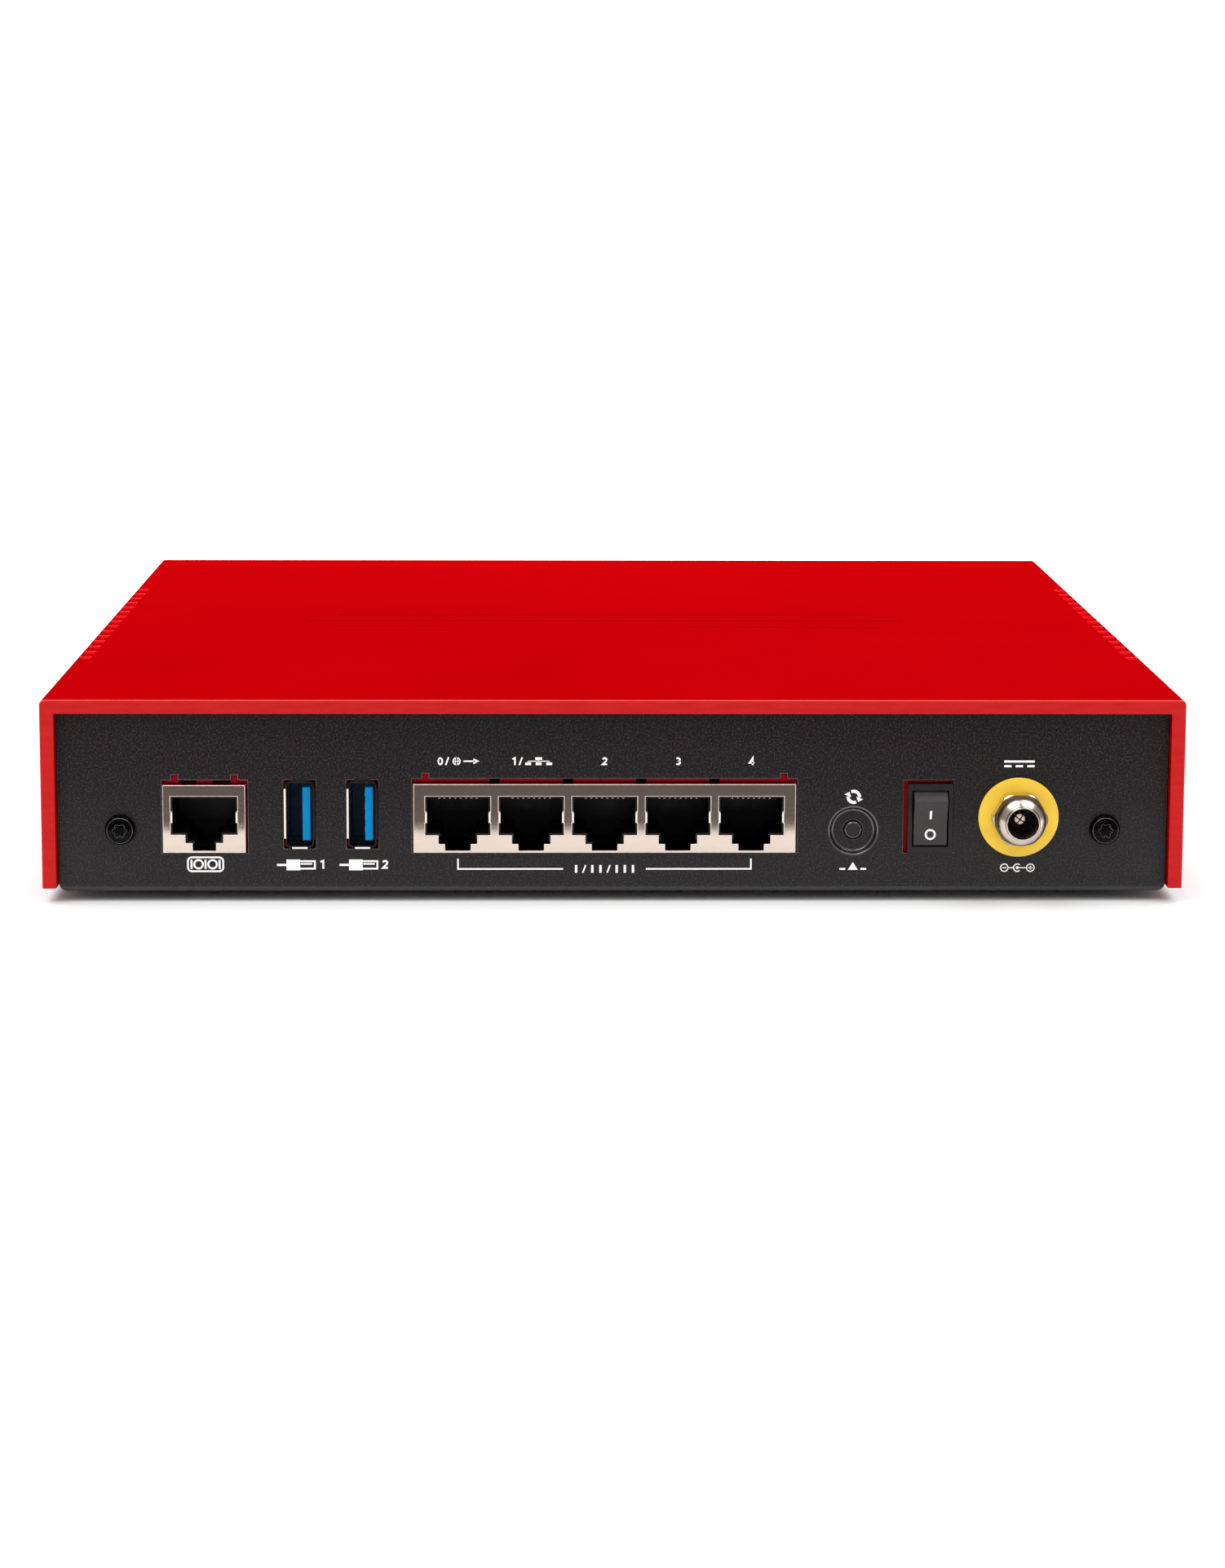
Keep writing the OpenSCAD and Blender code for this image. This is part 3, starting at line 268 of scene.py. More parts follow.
def make_materials():
    """One material for each of the record's slots, and a few more for prints and for painted light
    and shade: highlights on edges, shaded recesses and glowing parts.
    """
    metal = {"Metallic": 1.0}
    soft = {"Specular IOR Level": 0.35}
    made = {
        "cover_plastic": finish(
            "cover_plastic",
            [(0.272, 0.0001, 0.0012), (0.29, 0.0002, 0.0014)],
            (0.45, 0.5),
            grain=14,
            bump=(2600, 0.006),
            speckle=(1900, (0.262, 0.0001, 0.0011), 0.3),
            sockets={"Specular IOR Level": 0.0},
        ),
        # Painted light: the rim takes a paler, pinker copy of the red plastic for the light it
        # catches, and a little gloss.
        "cover_rim_painted_light": finish(
            "cover_rim_painted_light",
            [(0.44, 0.0076, 0.0081), (0.49, 0.011, 0.0116)],
            (0.4, 0.5),
            grain=900,
            stretch=(0.2, 1, 1),
            bump=(3000, 0.008),
            sockets={"Specular IOR Level": 0.1},
        ),
        # Painted highlight: a paler red on the rim's outer rounded edges, where they catch the
        # light.
        "cover_painted_highlight": finish(
            "cover_painted_highlight",
            [(0.6, 0.045, 0.045), (0.68, 0.06, 0.058)],
            (0.35, 0.45),
            grain=1400,
            stretch=(0.3, 1, 1),
            bump=(3000, 0.006),
            sockets={"Specular IOR Level": 0.15},
        ),
        # Painted shade: a deeper crimson copy of the red plastic for the inner wall behind the
        # panel's openings.
        "cover_inner_shade": finish(
            "cover_inner_shade",
            [(0.46, 0.0002, 0.014), (0.54, 0.0003, 0.018)],
            (0.5, 0.6),
            grain=300,
            sockets={"Specular IOR Level": 0.1},
        ),
        # Painted light: the vents' bars are a paler red that also glows a little, though no lamp is
        # there.
        "cover_vent_glow": finish(
            "cover_vent_glow",
            [(0.82, 0.006, 0.012), (0.88, 0.01, 0.016)],
            (0.4, 0.5),
            grain=600,
            sockets={
                "Specular IOR Level": 0.1,
                "Emission Color": (1, 0.012, 0.02, 1),
                "Emission Strength": 0.12,
            },
        ),
        "tray_coat": finish(
            "tray_coat",
            [(0.0001, 0.0001, 0.0001), (0.002, 0.0009, 0.0012), (0.034, 0.0215, 0.0238)],
            (0.4, 0.5),
            grain=3000,
            bump=(3000, 0.024),
            sockets={"Specular IOR Level": 0.4},
        ),
        # Painted highlight: a paler coat on the lower half of the sheet's bend, where it reflects
        # the floor.
        "tray_bend": finish(
            "tray_bend",
            [(0.008, 0.0066, 0.007), (0.03, 0.0235, 0.025)],
            (0.35, 0.45),
            grain=3000,
            bump=(3000, 0.02),
            sockets={"Specular IOR Level": 0.6},
        ),
        # Painted highlight: a paler, glossier black for rounded edges of the tray and the screws
        # and for the reset button's rim, so they show as light lines; the gloss is real, the paler
        # colour is painted.
        "edge_gloss_highlight": finish(
            "edge_gloss_highlight",
            [(0.035, 0.031, 0.032), (0.05, 0.045, 0.045)],
            (0.16, 0.24),
            grain=1200,
            bump=(2400, 0.01),
            sockets={"Specular IOR Level": 1.0, "Coat Weight": 0.6, "Coat Roughness": 0.15},
        ),
        "black_plastic": finish(
            "black_plastic",
            [(0.008, 0.0072, 0.0074), (0.012, 0.011, 0.0112)],
            (0.42, 0.55),
            grain=500,
            bump=(3200, 0.02),
            sockets={"Specular IOR Level": 0.4},
        ),
        "jack_plastic": finish(
            "jack_plastic",
            [(0.011, 0.009, 0.0095), (0.015, 0.0125, 0.013)],
            (0.35, 0.5),
            grain=500,
            bump=(3000, 0.01),
            sockets={"Specular IOR Level": 0.3},
        ),
        # Painted shade: a near-black copy of the jack plastic for the faces deep inside the jacks.
        "jack_painted_shade": finish(
            "jack_painted_shade",
            [(0.0012, 0.001, 0.0014), (0.002, 0.0018, 0.0023)],
            (0.35, 0.5),
            grain=500,
            sockets={"Specular IOR Level": 0.3},
        ),
        "rocker_plastic": finish(
            "rocker_plastic",
            [(0.030, 0.026, 0.027), (0.037, 0.032, 0.033)],
            (0.4, 0.5),
            grain=500,
            bump=(3600, 0.015),
            sockets={"Specular IOR Level": 0.35},
        ),
        "bezel_plastic": finish(
            "bezel_plastic",
            [(0.0085, 0.0068, 0.0072), (0.0125, 0.0104, 0.011)],
            (0.4, 0.5),
            grain=500,
            bump=(3600, 0.015),
            sockets={"Specular IOR Level": 0.35},
        ),
        "screw_black": finish(
            "screw_black",
            [(0.0006, 0.0004, 0.0006), (0.0012, 0.0009, 0.0011)],
            (0.1, 0.14),
            grain=800,
            bump=(2200, 0.002),
            sockets={"Specular IOR Level": 0.08},
        ),
        "rubber_black": finish(
            "rubber_black", [(0.014, 0.014, 0.014), (0.022, 0.022, 0.022)], (0.7, 0.85),
            grain=700, bump=(1800, 0.05),
        ),
        "label_foil": finish(
            "label_foil", [(0.55, 0.56, 0.58), (0.62, 0.63, 0.65)], (0.3, 0.42),
            grain=80, bump=(900, 0.005), sockets={"Metallic": 0.6},
        ),
        "insulator_film": finish(
            "insulator_film", [(0.55, 0.53, 0.45), (0.62, 0.6, 0.52)], (0.25, 0.35),
            grain=60, bump=(200, 0.02),
        ),
        "brass_part": finish(
            "brass_part", [(0.66, 0.46, 0.2), (0.78, 0.58, 0.28)], (0.2, 0.34),
            grain=400, stretch=(1, 1, 12), bump=(900, 0.01), sockets=metal,
        ),
        "zinc_steel": finish(
            "zinc_steel", [(0.5, 0.51, 0.53), (0.64, 0.65, 0.67)], (0.28, 0.4),
            grain=500, bump=(1400, 0.01), sockets=metal,
        ),
        "board_laminate": finish(
            "board_laminate", [(0.008, 0.06, 0.032), (0.012, 0.085, 0.045), (0.02, 0.11, 0.06)],
            (0.25, 0.38), grain=260, stretch=(1, 6, 1), bump=(1600, 0.01),
            speckle=(340, (0.05, 0.19, 0.11), 0.36),
        ),
        "tin_plate": finish(
            "tin_plate",
            [(0.6, 0.505, 0.44), (0.64, 0.54, 0.47)],
            (0.06, 0.1),
            grain=260,
            stretch=(1, 1, 9),
            bump=(2600, 0.0006),
            sockets=metal,
        ),
        # Painted highlight: a pale matte copy of the tin for the lit faces of the spring tabs and
        # the USB shells' lips.
        "tin_lit": finish(
            "tin_lit", [(0.8, 0.7, 0.62), (0.86, 0.76, 0.68)], (0.4, 0.5), grain=900,
            bump=(1500, 0.002), sockets=soft,
        ),
        "tin_shade": finish(
            "tin_shade", [(0.005, 0.005, 0.008), (0.009, 0.009, 0.013)], (0.3, 0.4), grain=900,
            bump=(1500, 0.002), sockets={"Specular IOR Level": 0.2},
        ),
        # Painted highlight: a paler, less metallic tin on the shields' rounded edges, which show as
        # bright lines.
        "tin_edge_highlight": finish(
            "tin_edge_highlight",
            [(0.8, 0.69, 0.61), (0.88, 0.77, 0.69)],
            (0.26, 0.34),
            grain=900,
            bump=(1500, 0.002),
            sockets={"Metallic": 0.35},
        ),
        "gold_plate": finish(
            "gold_plate",
            [(0.62, 0.52, 0.4), (0.72, 0.61, 0.47)],
            (0.25, 0.35),
            grain=900,
            bump=(2000, 0.004),
            sockets=metal,
        ),
        "blue_plastic": finish(
            "blue_plastic",
            [(0.002, 0.2, 0.45), (0.003, 0.225, 0.5)],
            (0.35, 0.45),
            grain=600,
            bump=(2600, 0.01),
            sockets={"Specular IOR Level": 0.04},
        ),
        # Painted shade: a dark navy copy of the blue for the back of the USB receptacles.
        "blue_painted_shade": finish(
            "blue_painted_shade",
            [(0.008, 0.026, 0.068), (0.013, 0.036, 0.085)],
            (0.4, 0.5),
            grain=600,
            sockets={"Specular IOR Level": 0.1},
        ),
        "washer_yellow": finish(
            "washer_yellow", [(0.8, 0.51, 0.034), (0.87, 0.57, 0.046)], (0.42, 0.55),
            grain=240, bump=(1500, 0.02), sockets=soft,
        ),
        "nickel_plate": finish(
            "nickel_plate",
            [(0.66, 0.57, 0.5), (0.76, 0.67, 0.6)],
            (0.2, 0.28),
            grain=900,
            stretch=(1, 0.4, 1),
            bump=(1800, 0.003),
            sockets=metal,
        ),
        # Painted shade: a dark copy of the nickel for the groove between the collar and the
        # hexagon.
        "nickel_shade": finish(
            "nickel_shade",
            [(0.16, 0.12, 0.1), (0.24, 0.19, 0.16)],
            (0.35, 0.45),
            grain=900,
            stretch=(1, 0.4, 1),
            bump=(1800, 0.003),
            sockets=metal,
        ),
        # Painted light: the centre pin's tip is paler than the plating and glows a little, though
        # no lamp is there.
        "pin_glow": finish(
            "pin_glow",
            [(0.8, 0.7, 0.62), (0.88, 0.78, 0.7)],
            (0.2, 0.3),
            grain=900,
            bump=(1800, 0.003),
            sockets={
                "Metallic": 0.6,
                "Emission Color": (1, 0.82, 0.72, 1),
                "Emission Strength": 0.3,
            },
        ),
        "lead_red": finish(
            "lead_red", [(0.4, 0.01, 0.012), (0.5, 0.02, 0.02)], (0.3, 0.4), grain=900,
            bump=(900, 0.02),
        ),
        "lead_black": finish(
            "lead_black", [(0.012, 0.012, 0.012), (0.02, 0.02, 0.02)], (0.3, 0.4), grain=900,
            bump=(900, 0.02),
        ),
        "nylon_ivory": finish(
            "nylon_ivory", [(0.66, 0.62, 0.5), (0.74, 0.7, 0.58)], (0.4, 0.5), grain=500,
            bump=(1600, 0.02),
        ),
        "chip_package": finish(
            "chip_package", [(0.016, 0.016, 0.018), (0.026, 0.026, 0.028)], (0.5, 0.65),
            grain=900, bump=(3000, 0.03),
        ),
        "pad_silicone": finish(
            "pad_silicone", [(0.28, 0.42, 0.48), (0.34, 0.48, 0.54)], (0.6, 0.7), grain=500,
            bump=(1200, 0.03),
        ),
        "sink_aluminium": finish(
            "sink_aluminium", [(0.02, 0.02, 0.022), (0.035, 0.035, 0.038)], (0.34, 0.46),
            grain=500, stretch=(1, 0.1, 4), bump=(1500, 0.02), sockets={"Metallic": 0.7},
        ),
        "can_aluminium": finish(
            "can_aluminium", [(0.6, 0.61, 0.63), (0.72, 0.73, 0.75)], (0.22, 0.34),
            grain=300, stretch=(1, 1, 8), bump=(1200, 0.01), sockets=metal,
        ),
        "cell_steel": finish(
            "cell_steel", [(0.58, 0.58, 0.58), (0.7, 0.7, 0.7)], (0.2, 0.32),
            grain=300, stretch=(6, 1, 1), bump=(1200, 0.008), sockets=metal,
        ),
        "window_smoke": finish(
            "window_smoke", [(0.008, 0.006, 0.007), (0.012, 0.009, 0.01)], (0.1, 0.16),
            grain=90, bump=(700, 0.002), sockets={"Specular IOR Level": 0.2},
        ),
        "pipe_clear": finish(
            "pipe_clear", [(0.85, 0.9, 0.93), (0.92, 0.95, 0.97)], (0.12, 0.2), grain=200,
            bump=(900, 0.004), sockets={"Transmission Weight": 0.8, "IOR": 1.49},
        ),
        "led_lens": finish(
            "led_lens", [(0.7, 0.76, 0.62), (0.8, 0.84, 0.72)], (0.3, 0.4), grain=900,
            bump=(1500, 0.01),
        ),
        "ceramic_part": finish(
            "ceramic_part", [(0.3, 0.22, 0.14), (0.5, 0.42, 0.32)], (0.4, 0.5), grain=1500,
            bump=(2500, 0.02),
        ),
        "print_white": finish(
            "print_white", [(0.86, 0.85, 0.84), (0.94, 0.93, 0.92)], (0.5, 0.6), grain=1200,
            bump=(2600, 0.012), sockets=soft,
        ),
    }
    return made


# ---- Refined meshes of CAD nodes ----


# Faces that meet at more than this many degrees have a sharp edge between them
SHARP_ANGLE = 35


def wide_angle(edge):
    """The angle between an edge's two faces, in radians."""
    return edge.calc_face_angle(0) if len(edge.link_faces) == 2 else 0


def smooth_curves(bm):
    """Rounded edges and turned faces are shaded smooth, and corners stay sharp."""
    for face in bm.faces:
        face.smooth = True
    for edge in bm.edges:
        edge.smooth = wide_angle(edge) < math.radians(SHARP_ANGLE)


def sharp_edges(bm):
    return [edge for edge in bm.edges if wide_angle(edge) > math.radians(SHARP_ANGLE)]


def round_edges(bm, edges, width):
    """Rounds the edges by width, in mm; the new faces take the second material."""
    bmesh.ops.bevel(
        bm,
        geom=edges,
        offset=width * MM,
        segments=3,
        profile=0.5,
        affect="EDGES",
        clamp_overlap=False,
        material=1,
    )


def refine(node, width, edge_slot=None, place=None, broad=None):
    """Stands for a CAD node with a copy whose sharp edges are rounded by width, in mm.

    edge_slot: material of the rounded edges
    place: function of a face's centre (mm), its normal and whether it is a rounded edge,
        that names another material or None
    broad: (function of an edge's middle (mm) that picks edges, width of their rounding)
    """
    slot = SLOT_OF[node]
    bm = bmesh.new()
    bm.from_mesh(NODES[node].data)
    bmesh.ops.remove_doubles(bm, verts=bm.verts, dist=0.002 * MM)
    bmesh.ops.dissolve_limit(
        bm, angle_limit=math.radians(0.3), verts=bm.verts, edges=bm.edges
    )
    for face in bm.faces:
        face.material_index = 0
    if broad:
        picks, broad_width = broad
        ends = [(edge, edge.verts[0].co + edge.verts[1].co) for edge in sharp_edges(bm)]
        round_edges(bm, [edge for edge, total in ends if picks(total / 2 / MM)], broad_width)
    round_edges(bm, sharp_edges(bm), width)
    bmesh.ops.dissolve_degenerate(bm, edges=bm.edges, dist=0.0005 * MM)
    smooth_curves(bm)
    materials = [MATERIALS[slot], MATERIALS[edge_slot or slot]]
    if place:
        for face in bm.faces:
            rounded = face.material_index == 1
            name = place(face.calc_center_median() / MM, face.normal, rounded)
            if name:
                if MATERIALS[name] not in materials:
                    materials.append(MATERIALS[name])
                face.material_index = materials.index(MATERIALS[name])
    mesh = bpy.data.meshes.new(node + "_fine")
    bm.to_mesh(mesh)
    bm.free()
    for material in materials:
        mesh.materials.append(material)
    piece = add_object(node + "_fine", mesh)
    evened = piece.modifiers.new("even_normals", "WEIGHTED_NORMAL")
    evened.mode = "FACE_AREA"
    evened.weight = 60
    evened.keep_sharp = True
    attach(piece, BODY_OF[node])
    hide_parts(node)
    return piece


def dress_cad_nodes():
    """Every CAD node takes its slot's material."""
    for name, obj in NODES.items():
        obj.data.materials.clear()
        obj.data.materials.append(MATERIALS[SLOT_OF[name]])


# ---- Printed marks ----
# A mark is a list of convex outlines; an outline is a list of (x, z) points in mm.


def stroke(points, width, closed=False):
    """A line of even width with mitred corners."""
    count = len(points)
    rails = []
    for i, point in enumerate(points):
        here = Vector(point)
        before = Vector(points[i - 1]) if closed or i else None
        after = Vector(points[(i + 1) % count]) if closed or i < count - 1 else None
        into = (here - before if before else after - here).normalized()
        out = (after - here if after else here - before).normalized()
        middle = (into + out).normalized()
        reach = width / 2 / max(0.3, middle.dot(out))
        side = Vector((-middle.y, middle.x)) * reach
        rails.append((here + side, here - side))
    ends = range(count if closed else count - 1)
    pairs = [(rails[i], rails[(i + 1) % count]) for i in ends]
    return [[a[0], a[1], b[1], b[0]] for a, b in pairs]


def circle(x, z, radius, start=0, end=360, steps=32, narrow=1):
    """Points of an arc; narrow squeezes it along x."""
    span = steps if abs(end - start) == 360 else steps - 1
    angles = [math.radians(start + (end - start) * i / span) for i in range(steps)]
    return [(x + narrow * radius * math.cos(a), z + radius * math.sin(a)) for a in angles]


def ring(x, z, radius, width, narrow=1):
    return stroke(circle(x, z, radius, narrow=narrow), width, closed=True)


def bar(x, z, width, height):
    half_x, half_z = width / 2, height / 2
    return [
        [(x - half_x, z - half_z), (x + half_x, z - half_z), (x + half_x, z + half_z),
         (x - half_x, z + half_z)]
    ]


def digit(number, x, z, size=1.5):
    """A plain numeral of the given height."""
    lines = {
        0: [],
        1: [[(-0.26, 0.28), (0.06, 0.42), (0.06, -0.5)]],
        2: [[(-0.26, 0.24), (-0.14, 0.38), (0.08, 0.4), (0.23, 0.24), (0.18, 0.04),
             (-0.26, -0.4), (0.3, -0.4)]],
        3: [[(-0.24, 0.38), (0.05, 0.4), (0.2, 0.24), (0.12, 0.07), (-0.08, 0.03)],
            [(-0.08, 0.03), (0.16, -0.02), (0.23, -0.2), (0.1, -0.39), (-0.26, -0.38)]],
        4: [[(0.32, -0.2), (-0.28, -0.2), (0.12, 0.44), (0.12, -0.5)]],
    }
    width = 0.2 * size
    if number == 0:
        return ring(x, z, 0.4 * size, width, narrow=0.62)
    outlines = []
    for line in lines[number]:
        outlines += stroke([(x + size * a, z + size * b) for a, b in line], width)
    return outlines


def slash(x, z):
    return stroke([(x - 0.28, z - 0.75), (x + 0.28, z + 0.75)], 0.28)


def arrow(x, z, length, head=0.55, width=0.28):
    """Points along +x; x is the tip."""
    tip = [[(x - 2 * head, z - head), (x, z), (x - 2 * head, z + head)]]
    return stroke([(x - length, z), (x - 1.5 * head, z)], width) + tip


def globe(x, z):
    outline = ring(x, z, 0.68, 0.18) + ring(x, z, 0.68, 0.14, narrow=0.42)
    return outline + bar(x, z, 1.3, 0.16)


def network_tree(x, z):
    """One box over three, joined by lines."""
    outlines = bar(x, z + 0.5, 1.3, 0.5) + bar(x, z, 4.2, 0.16) + bar(x, z + 0.15, 0.16, 0.4)
    for step in (-2, 0, 2):
        outlines += bar(x + step, z - 0.5, 1.1, 0.5) + bar(x + step, z - 0.15, 0.16, 0.4)
    return outlines


def speed_tally(x, z):
    """Groups of one, two and three bars with slashes between them."""
    outlines = []
    for place, sign in enumerate("|/||/|||"):
        centre = x + (place - 3.5) * 1.55
        outlines += slash(centre, z) if sign == "/" else bar(centre, z, 0.45, 1.5)
    return outlines


def serial_mark(x, z):
    """Bars and rings in a rounded frame."""
    half_x, half_z, corner = 3.35, 1.35, 0.75
    frame_line = []
    for i, (sx, sz) in enumerate(((1, 1), (-1, 1), (-1, -1), (1, -1))):
        centre = (x + sx * (half_x - corner), z + sz * (half_z - corner))
        frame_line += circle(*centre, corner, 90 * i, 90 * i + 90, steps=7)
    outlines = stroke(frame_line, 0.34, closed=True)
    for step in (-2.67, 0, 2.67):
        outlines += bar(x + step, z, 0.36, 1.8)
    for step in (-1.33, 1.33):
        outlines += ring(x + step, z, 0.82, 0.36)
    return outlines


def plug_mark(x, z):
    """A cable, a plug's grip and its shell."""
    outlines = bar(x - 3.1, z, 1.8, 0.42) + bar(x - 0.9, z, 2.6, 2.1)
    shell = [(x + 0.4, z + 0.72), (x + 3.2, z + 0.72), (x + 3.2, z - 0.72), (x + 0.4, z - 0.72)]
    return outlines + stroke(shell, 0.34) + bar(x + 1.6, z + 0.2, 2.2, 0.3)


def turning_arrows(x, z):
    """Two arrows that chase each other clockwise."""
    outlines = []
    for turn in (0, 180):
        outlines += stroke(circle(x, z, 1.08, 115 + turn, turn - 4, steps=14), 0.58)
        head = ((0.5, turn), (1.28, turn - 48), (1.84, turn - 15))
        outlines.append([
            (x + r * math.cos(math.radians(a)), z + r * math.sin(math.radians(a))) for r, a in head
        ])
    return outlines


def press_mark(x, z):
    """A triangle between two short bars, under the button it points to."""
    outlines = [[(x - 0.95, z - 0.6), (x + 0.95, z - 0.6), (x, z + 0.9)]]
    for side in (-1, 1):
        outlines += bar(x + side * 2, z - 0.42, 1.1, 0.36)
    return outlines


def direct_current_mark(x, z):
    outlines = bar(x, z + 0.45, 5.8, 0.4)
    for step in (-2.2, 0, 2.2):
        outlines += bar(x + step, z - 0.45, 1.4, 0.4)
    return outlines


def polarity_mark(x, z):
    """Minus on the sleeve and plus on the centre pin."""
    dot = circle(x, z, 0.3, steps=16)
    cup = stroke(circle(x, z, 0.72, 50, 310, steps=20), 0.22)
    outlines = [dot] + cup + bar(x - 1.3, z, 1.0, 0.2) + bar(x + 1, z, 1.5, 0.2)
    for side in (-1, 1):
        centre = x + side * 2.5
        outlines += ring(centre, z, 0.72, 0.2) + bar(centre, z, 0.8, 0.2)
    return outlines + bar(x + 2.5, z, 0.2, 0.8)


def skin(name, outlines, origin, up, normal, thickness, material):
    """Outlines in the plane through origin, raised along its normal; lengths in mm."""
    across, up, normal = Vector((1, 0, 0)), Vector(up), Vector(normal)
    bm = bmesh.new()
    for outline in outlines:
        flat = [Vector(origin) + across * p[0] + up * p[1] for p in outline]
        front = [bm.verts.new((p + normal * thickness) * MM) for p in flat]
        back = [bm.verts.new((p - normal * 0.01) * MM) for p in flat]
        bm.faces.new(front)
        for i in range(len(front)):
            j = (i + 1) % len(front)
            bm.faces.new((front[i], back[i], back[j], front[j]))
    bmesh.ops.recalc_face_normals(bm, faces=bm.faces)
    mesh = bpy.data.meshes.new(name)
    bm.to_mesh(mesh)
    bm.free()
    mesh.materials.append(material)
    return add_object(name, mesh)


def lay_print(name, outlines, origin, up, normal, body, ink="print_white"):
    """Makes a mark a thin skin in the ink's material that belongs to a body."""
    piece = skin(name, outlines, origin, up, normal, 0.03, MATERIALS[ink])
    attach(piece, body)
    return piece


def middle(node):
    """A node's middle, in mm."""
    low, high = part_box(node)
    return (Vector(low) + Vector(high)) / 2 / MM


def print_panel():
    """White marks on the connector panel."""
    ports = middle("lan_jack_shield").x
    first, second, third, fourth, fifth = [ports + (i - 2) * PORT_PITCH for i in range(5)]
    numbers = digit(0, first - 3.3, NUMBER_Z) + slash(first - 2, NUMBER_Z)
    numbers += globe(first - 0.2, NUMBER_Z) + arrow(first + 4.1, NUMBER_Z, 3)
    numbers += digit(1, second - 3.2, NUMBER_Z) + slash(second - 2, NUMBER_Z)
    numbers += network_tree(second + 1.4, NUMBER_Z)
    for number, x in ((2, third), (3, fourth), (4, fifth)):
        numbers += digit(number, x, NUMBER_Z)
    bracket = speed_tally(ports, BRACKET_Z)
    for side in (-1, 1):
        far, near = ports + side * 2 * PORT_PITCH, ports + side * 7.9
        bracket += stroke([(far, BRACKET_Z + 2), (far, BRACKET_Z), (near, BRACKET_Z)], 0.3)
    usb = []
    for number in (1, 2):
        x = middle("usb_%d_shell" % number).x
        usb += plug_mark(x - 0.4, 7.2) + digit(number, x + 4.3, 7.3, 1.7)
    button = middle("reset_button").x
    inlet = middle("dc_washer").x
    marks = {
        "print_port_numbers": numbers,
        "print_speed_bracket": bracket,
        "print_console_mark": serial_mark(middle("console_jack_shield").x + 0.15, 7.33),
        "print_usb_marks": usb,
        "print_reset_marks": turning_arrows(button, 20.4) + press_mark(button, 6.8),
        "print_power_marks": direct_current_mark(inlet, 26.8) + polarity_mark(inlet, 6.6),
    }
    for name, outlines in marks.items():
        lay_print(name, outlines, (0, PANEL_Y, 0), (0, 0, 1), (0, -1, 0), "case")


def paint_tab_highlights():
    """Painted highlights: pale bars laid in front of the panel over the jacks' spring tabs and the
    lips in the USB shells' mouths.
    """
    console = middle("console_jack_shield").x
    ports = middle("lan_jack_shield").x
    tabs = [(console, 6.2)] + [(ports + (i - 2) * PORT_PITCH, 6.05) for i in range(5)]
    outlines = []
    for x, reach in tabs:
        for side in (-1, 1):
            outlines += bar(x + side * reach, TAB_Z, 0.36, 1.95)
    for number in (1, 2):
        shell = middle("usb_%d_shell" % number)
        outlines += bar(shell.x - 2.78, 17.2, 0.36, 9.6) + bar(shell.x, 10.57, 2.9, 0.34)
    lay_print("spring_tab_highlights", outlines, (0, PANEL_Y - 0.35, 0), (0, 0, 1), (0, -1, 0),
              "case", "tin_lit")


def print_rocker():
    """The line and the ring on the rocker's two faces, which meet in a valley."""
    lean = math.radians(ROCKER_LEAN)
    valley = (middle("power_rocker").x, VALLEY_Y, VALLEY_Z)
    up, out = (0, -math.sin(lean), math.cos(lean)), (0, -math.cos(lean), -math.sin(lean))
    lay_print("print_rocker_on", bar(0, 1.6, 0.42, 1.9), valley, up, out, "rocker")
    lay_print("print_rocker_off", ring(0, -2.45, 0.87, 0.37), valley, (0, 0, 1), (0, -1, 0),
              "rocker")


# ---- The whole scene ----

# Places on the object along Y, in mm: the panel's face, the cover's rim, the far side of its
# inner wall, the root of the USB tongues, the front of the inlet's hexagon and the line where
# the rocker's two faces meet
PANEL_Y = -98
RIM_Y = -100
COMB_END = -94
TONGUE_END = -89.5
COLLAR_Y = -101.2
VALLEY_Y = -98.55
# Along X: the inner side of the vents, and the distance between two network ports
VENT_X = 105
PORT_PITCH = 13.97
# Along Z: the top of the tray's bend, the speed bracket, the line where the rocker's faces
# meet, the jacks' spring tabs and the port numbers
BEND_TOP = 5.5
BRACKET_Z = 6.4
VALLEY_Z = 15.644
TAB_Z = 16.4
NUMBER_Z = 27.3
# Degrees between the rocker's upper face and the panel
ROCKER_LEAN = 24


def cover_place(centre, normal, rounded):
    """Painted light: the rim is a paler, slightly glossier copy of the red, with a painted
    highlight on its outer rounded edges; the vents' bars glow; the inner wall is a deeper crimson
    as painted shade.
    """
    out, up = abs(centre.x), centre.z
    if centre.y < RIM_Y + 0.6:
        outer = out > cad_high[0] / MM - 0.5 or up > cad_high[2] / MM - 0.5
        return "cover_painted_highlight" if rounded and outer else "cover_rim_painted_light"
    if out > VENT_X and up > 13.5 and centre.y > RIM_Y + 30:
        return "cover_vent_glow" if normal.y < -0.4 else "cover_plastic"
    if centre.y < COMB_END and out < VENT_X and up < 36.5:
        return "cover_inner_shade"
    return "cover_plastic"


def tray_place(centre, normal, rounded):
    """The lower half of the sheet's bend, towards the floor, takes a paler coat as a painted
    highlight.
    """
    bend = centre.y < PANEL_Y + 2 and centre.z < BEND_TOP
    return "tray_bend" if bend and not rounded and -0.97 < normal.z < -0.35 else None


def insulator_place(centre, normal, rounded):
    """The back of the receptacle takes a dark navy copy of the blue as painted shade; only the
    tongue keeps the plain blue.
    """
    return "blue_painted_shade" if centre.y > TONGUE_END else None


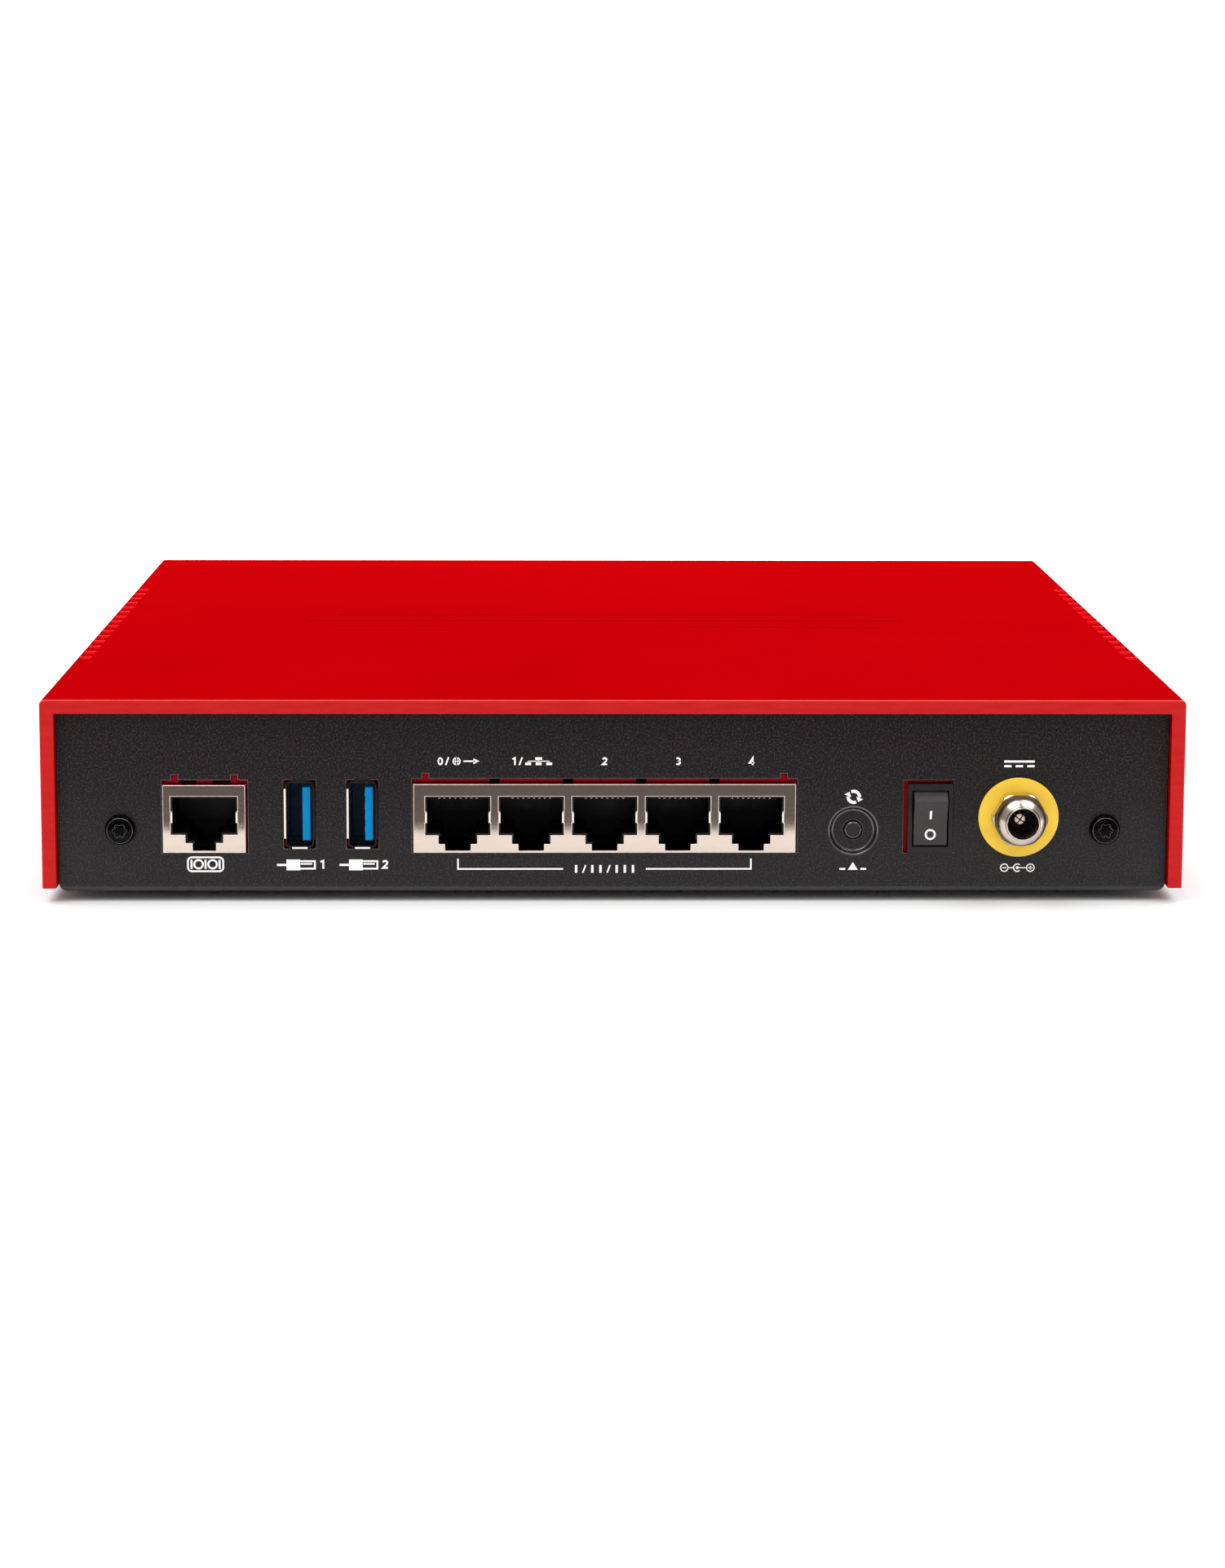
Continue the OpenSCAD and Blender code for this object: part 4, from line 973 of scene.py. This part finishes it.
def shell_place(centre, normal, rounded):
    """The mouth of a USB shell is in shade."""
    return "tin_shade" if centre.y < PANEL_Y + 1 else None


def housing_place(centre, normal, rounded):
    # Painted shade: faces more than 2 mm behind the panel take the near-black copy of the jack
    # plastic.
    return "jack_painted_shade" if centre.y > PANEL_Y + 2 else None


def bezel_place(centre, normal, rounded):
    return "bezel_plastic"


def pin_place(centre, normal, rounded):
    # Painted light: the front of the pin glows.
    return "pin_glow" if centre.y < PANEL_Y - 2 else None


def barrel_place(centre, normal, rounded):
    """The groove between the sleeve's collar and the hexagon takes a dark copy of the nickel as
    painted shade.
    """
    axis = middle("dc_washer")
    reach = math.hypot(centre.x - axis.x, centre.z - axis.z)
    return "nickel_shade" if 4.62 < reach < 5.0 and centre.y < COLLAR_Y else None


def button_place(centre, normal, rounded):
    # Painted highlight: the button's sloping front faces take the paler, glossy edge material.
    return "edge_gloss_highlight" if -0.97 < normal.y < -0.2 else None


def dish_edge(middle_of_edge):
    """The edges of the dish drawn round the reset button."""
    button_middle = middle("reset_button")
    reach = math.hypot(middle_of_edge.x - button_middle.x, middle_of_edge.z - button_middle.z)
    return 3.7 < reach < 4.9 and middle_of_edge.y < PANEL_Y + 1.1


make_camera()
MATERIALS = make_materials()
make_stage()
dress_cad_nodes()
refine("top_cover", 0.2, "cover_painted_highlight", place=cover_place)
refine("chassis_tray", 0.12, "edge_gloss_highlight", place=tray_place, broad=(dish_edge, 0.22))
for number in (1, 2):
    refine("usb_%d_shell" % number, 0.05, place=shell_place)
    refine("usb_%d_insulator" % number, 0.1, place=insulator_place)
for jack in ("console", "lan"):
    refine(jack + "_jack_shield", 0.13, "tin_edge_highlight")
    refine(jack + "_jack_housing", 0.08, place=housing_place)
refine("dc_jack_pin", 0.1, place=pin_place)
refine("dc_jack_barrel", 0.08, place=barrel_place)
refine("power_switch_body", 0.14, place=bezel_place)
refine("reset_button", 0.08, place=button_place)
refine("rear_cover_screws", 0.07, "edge_gloss_highlight")
for node, width in (
    ("power_rocker", 0.16),
    ("dc_washer", 0.06),
    ("led_window", 0.15),
    ("heatsink", 0.15),
    ("dc_nut", 0.1),
):
    refine(node, width)
for number in (1, 2, 3, 4):
    refine("rubber_foot_%d" % number, 0.25)
print_panel()
print_rocker()
paint_tab_highlights()
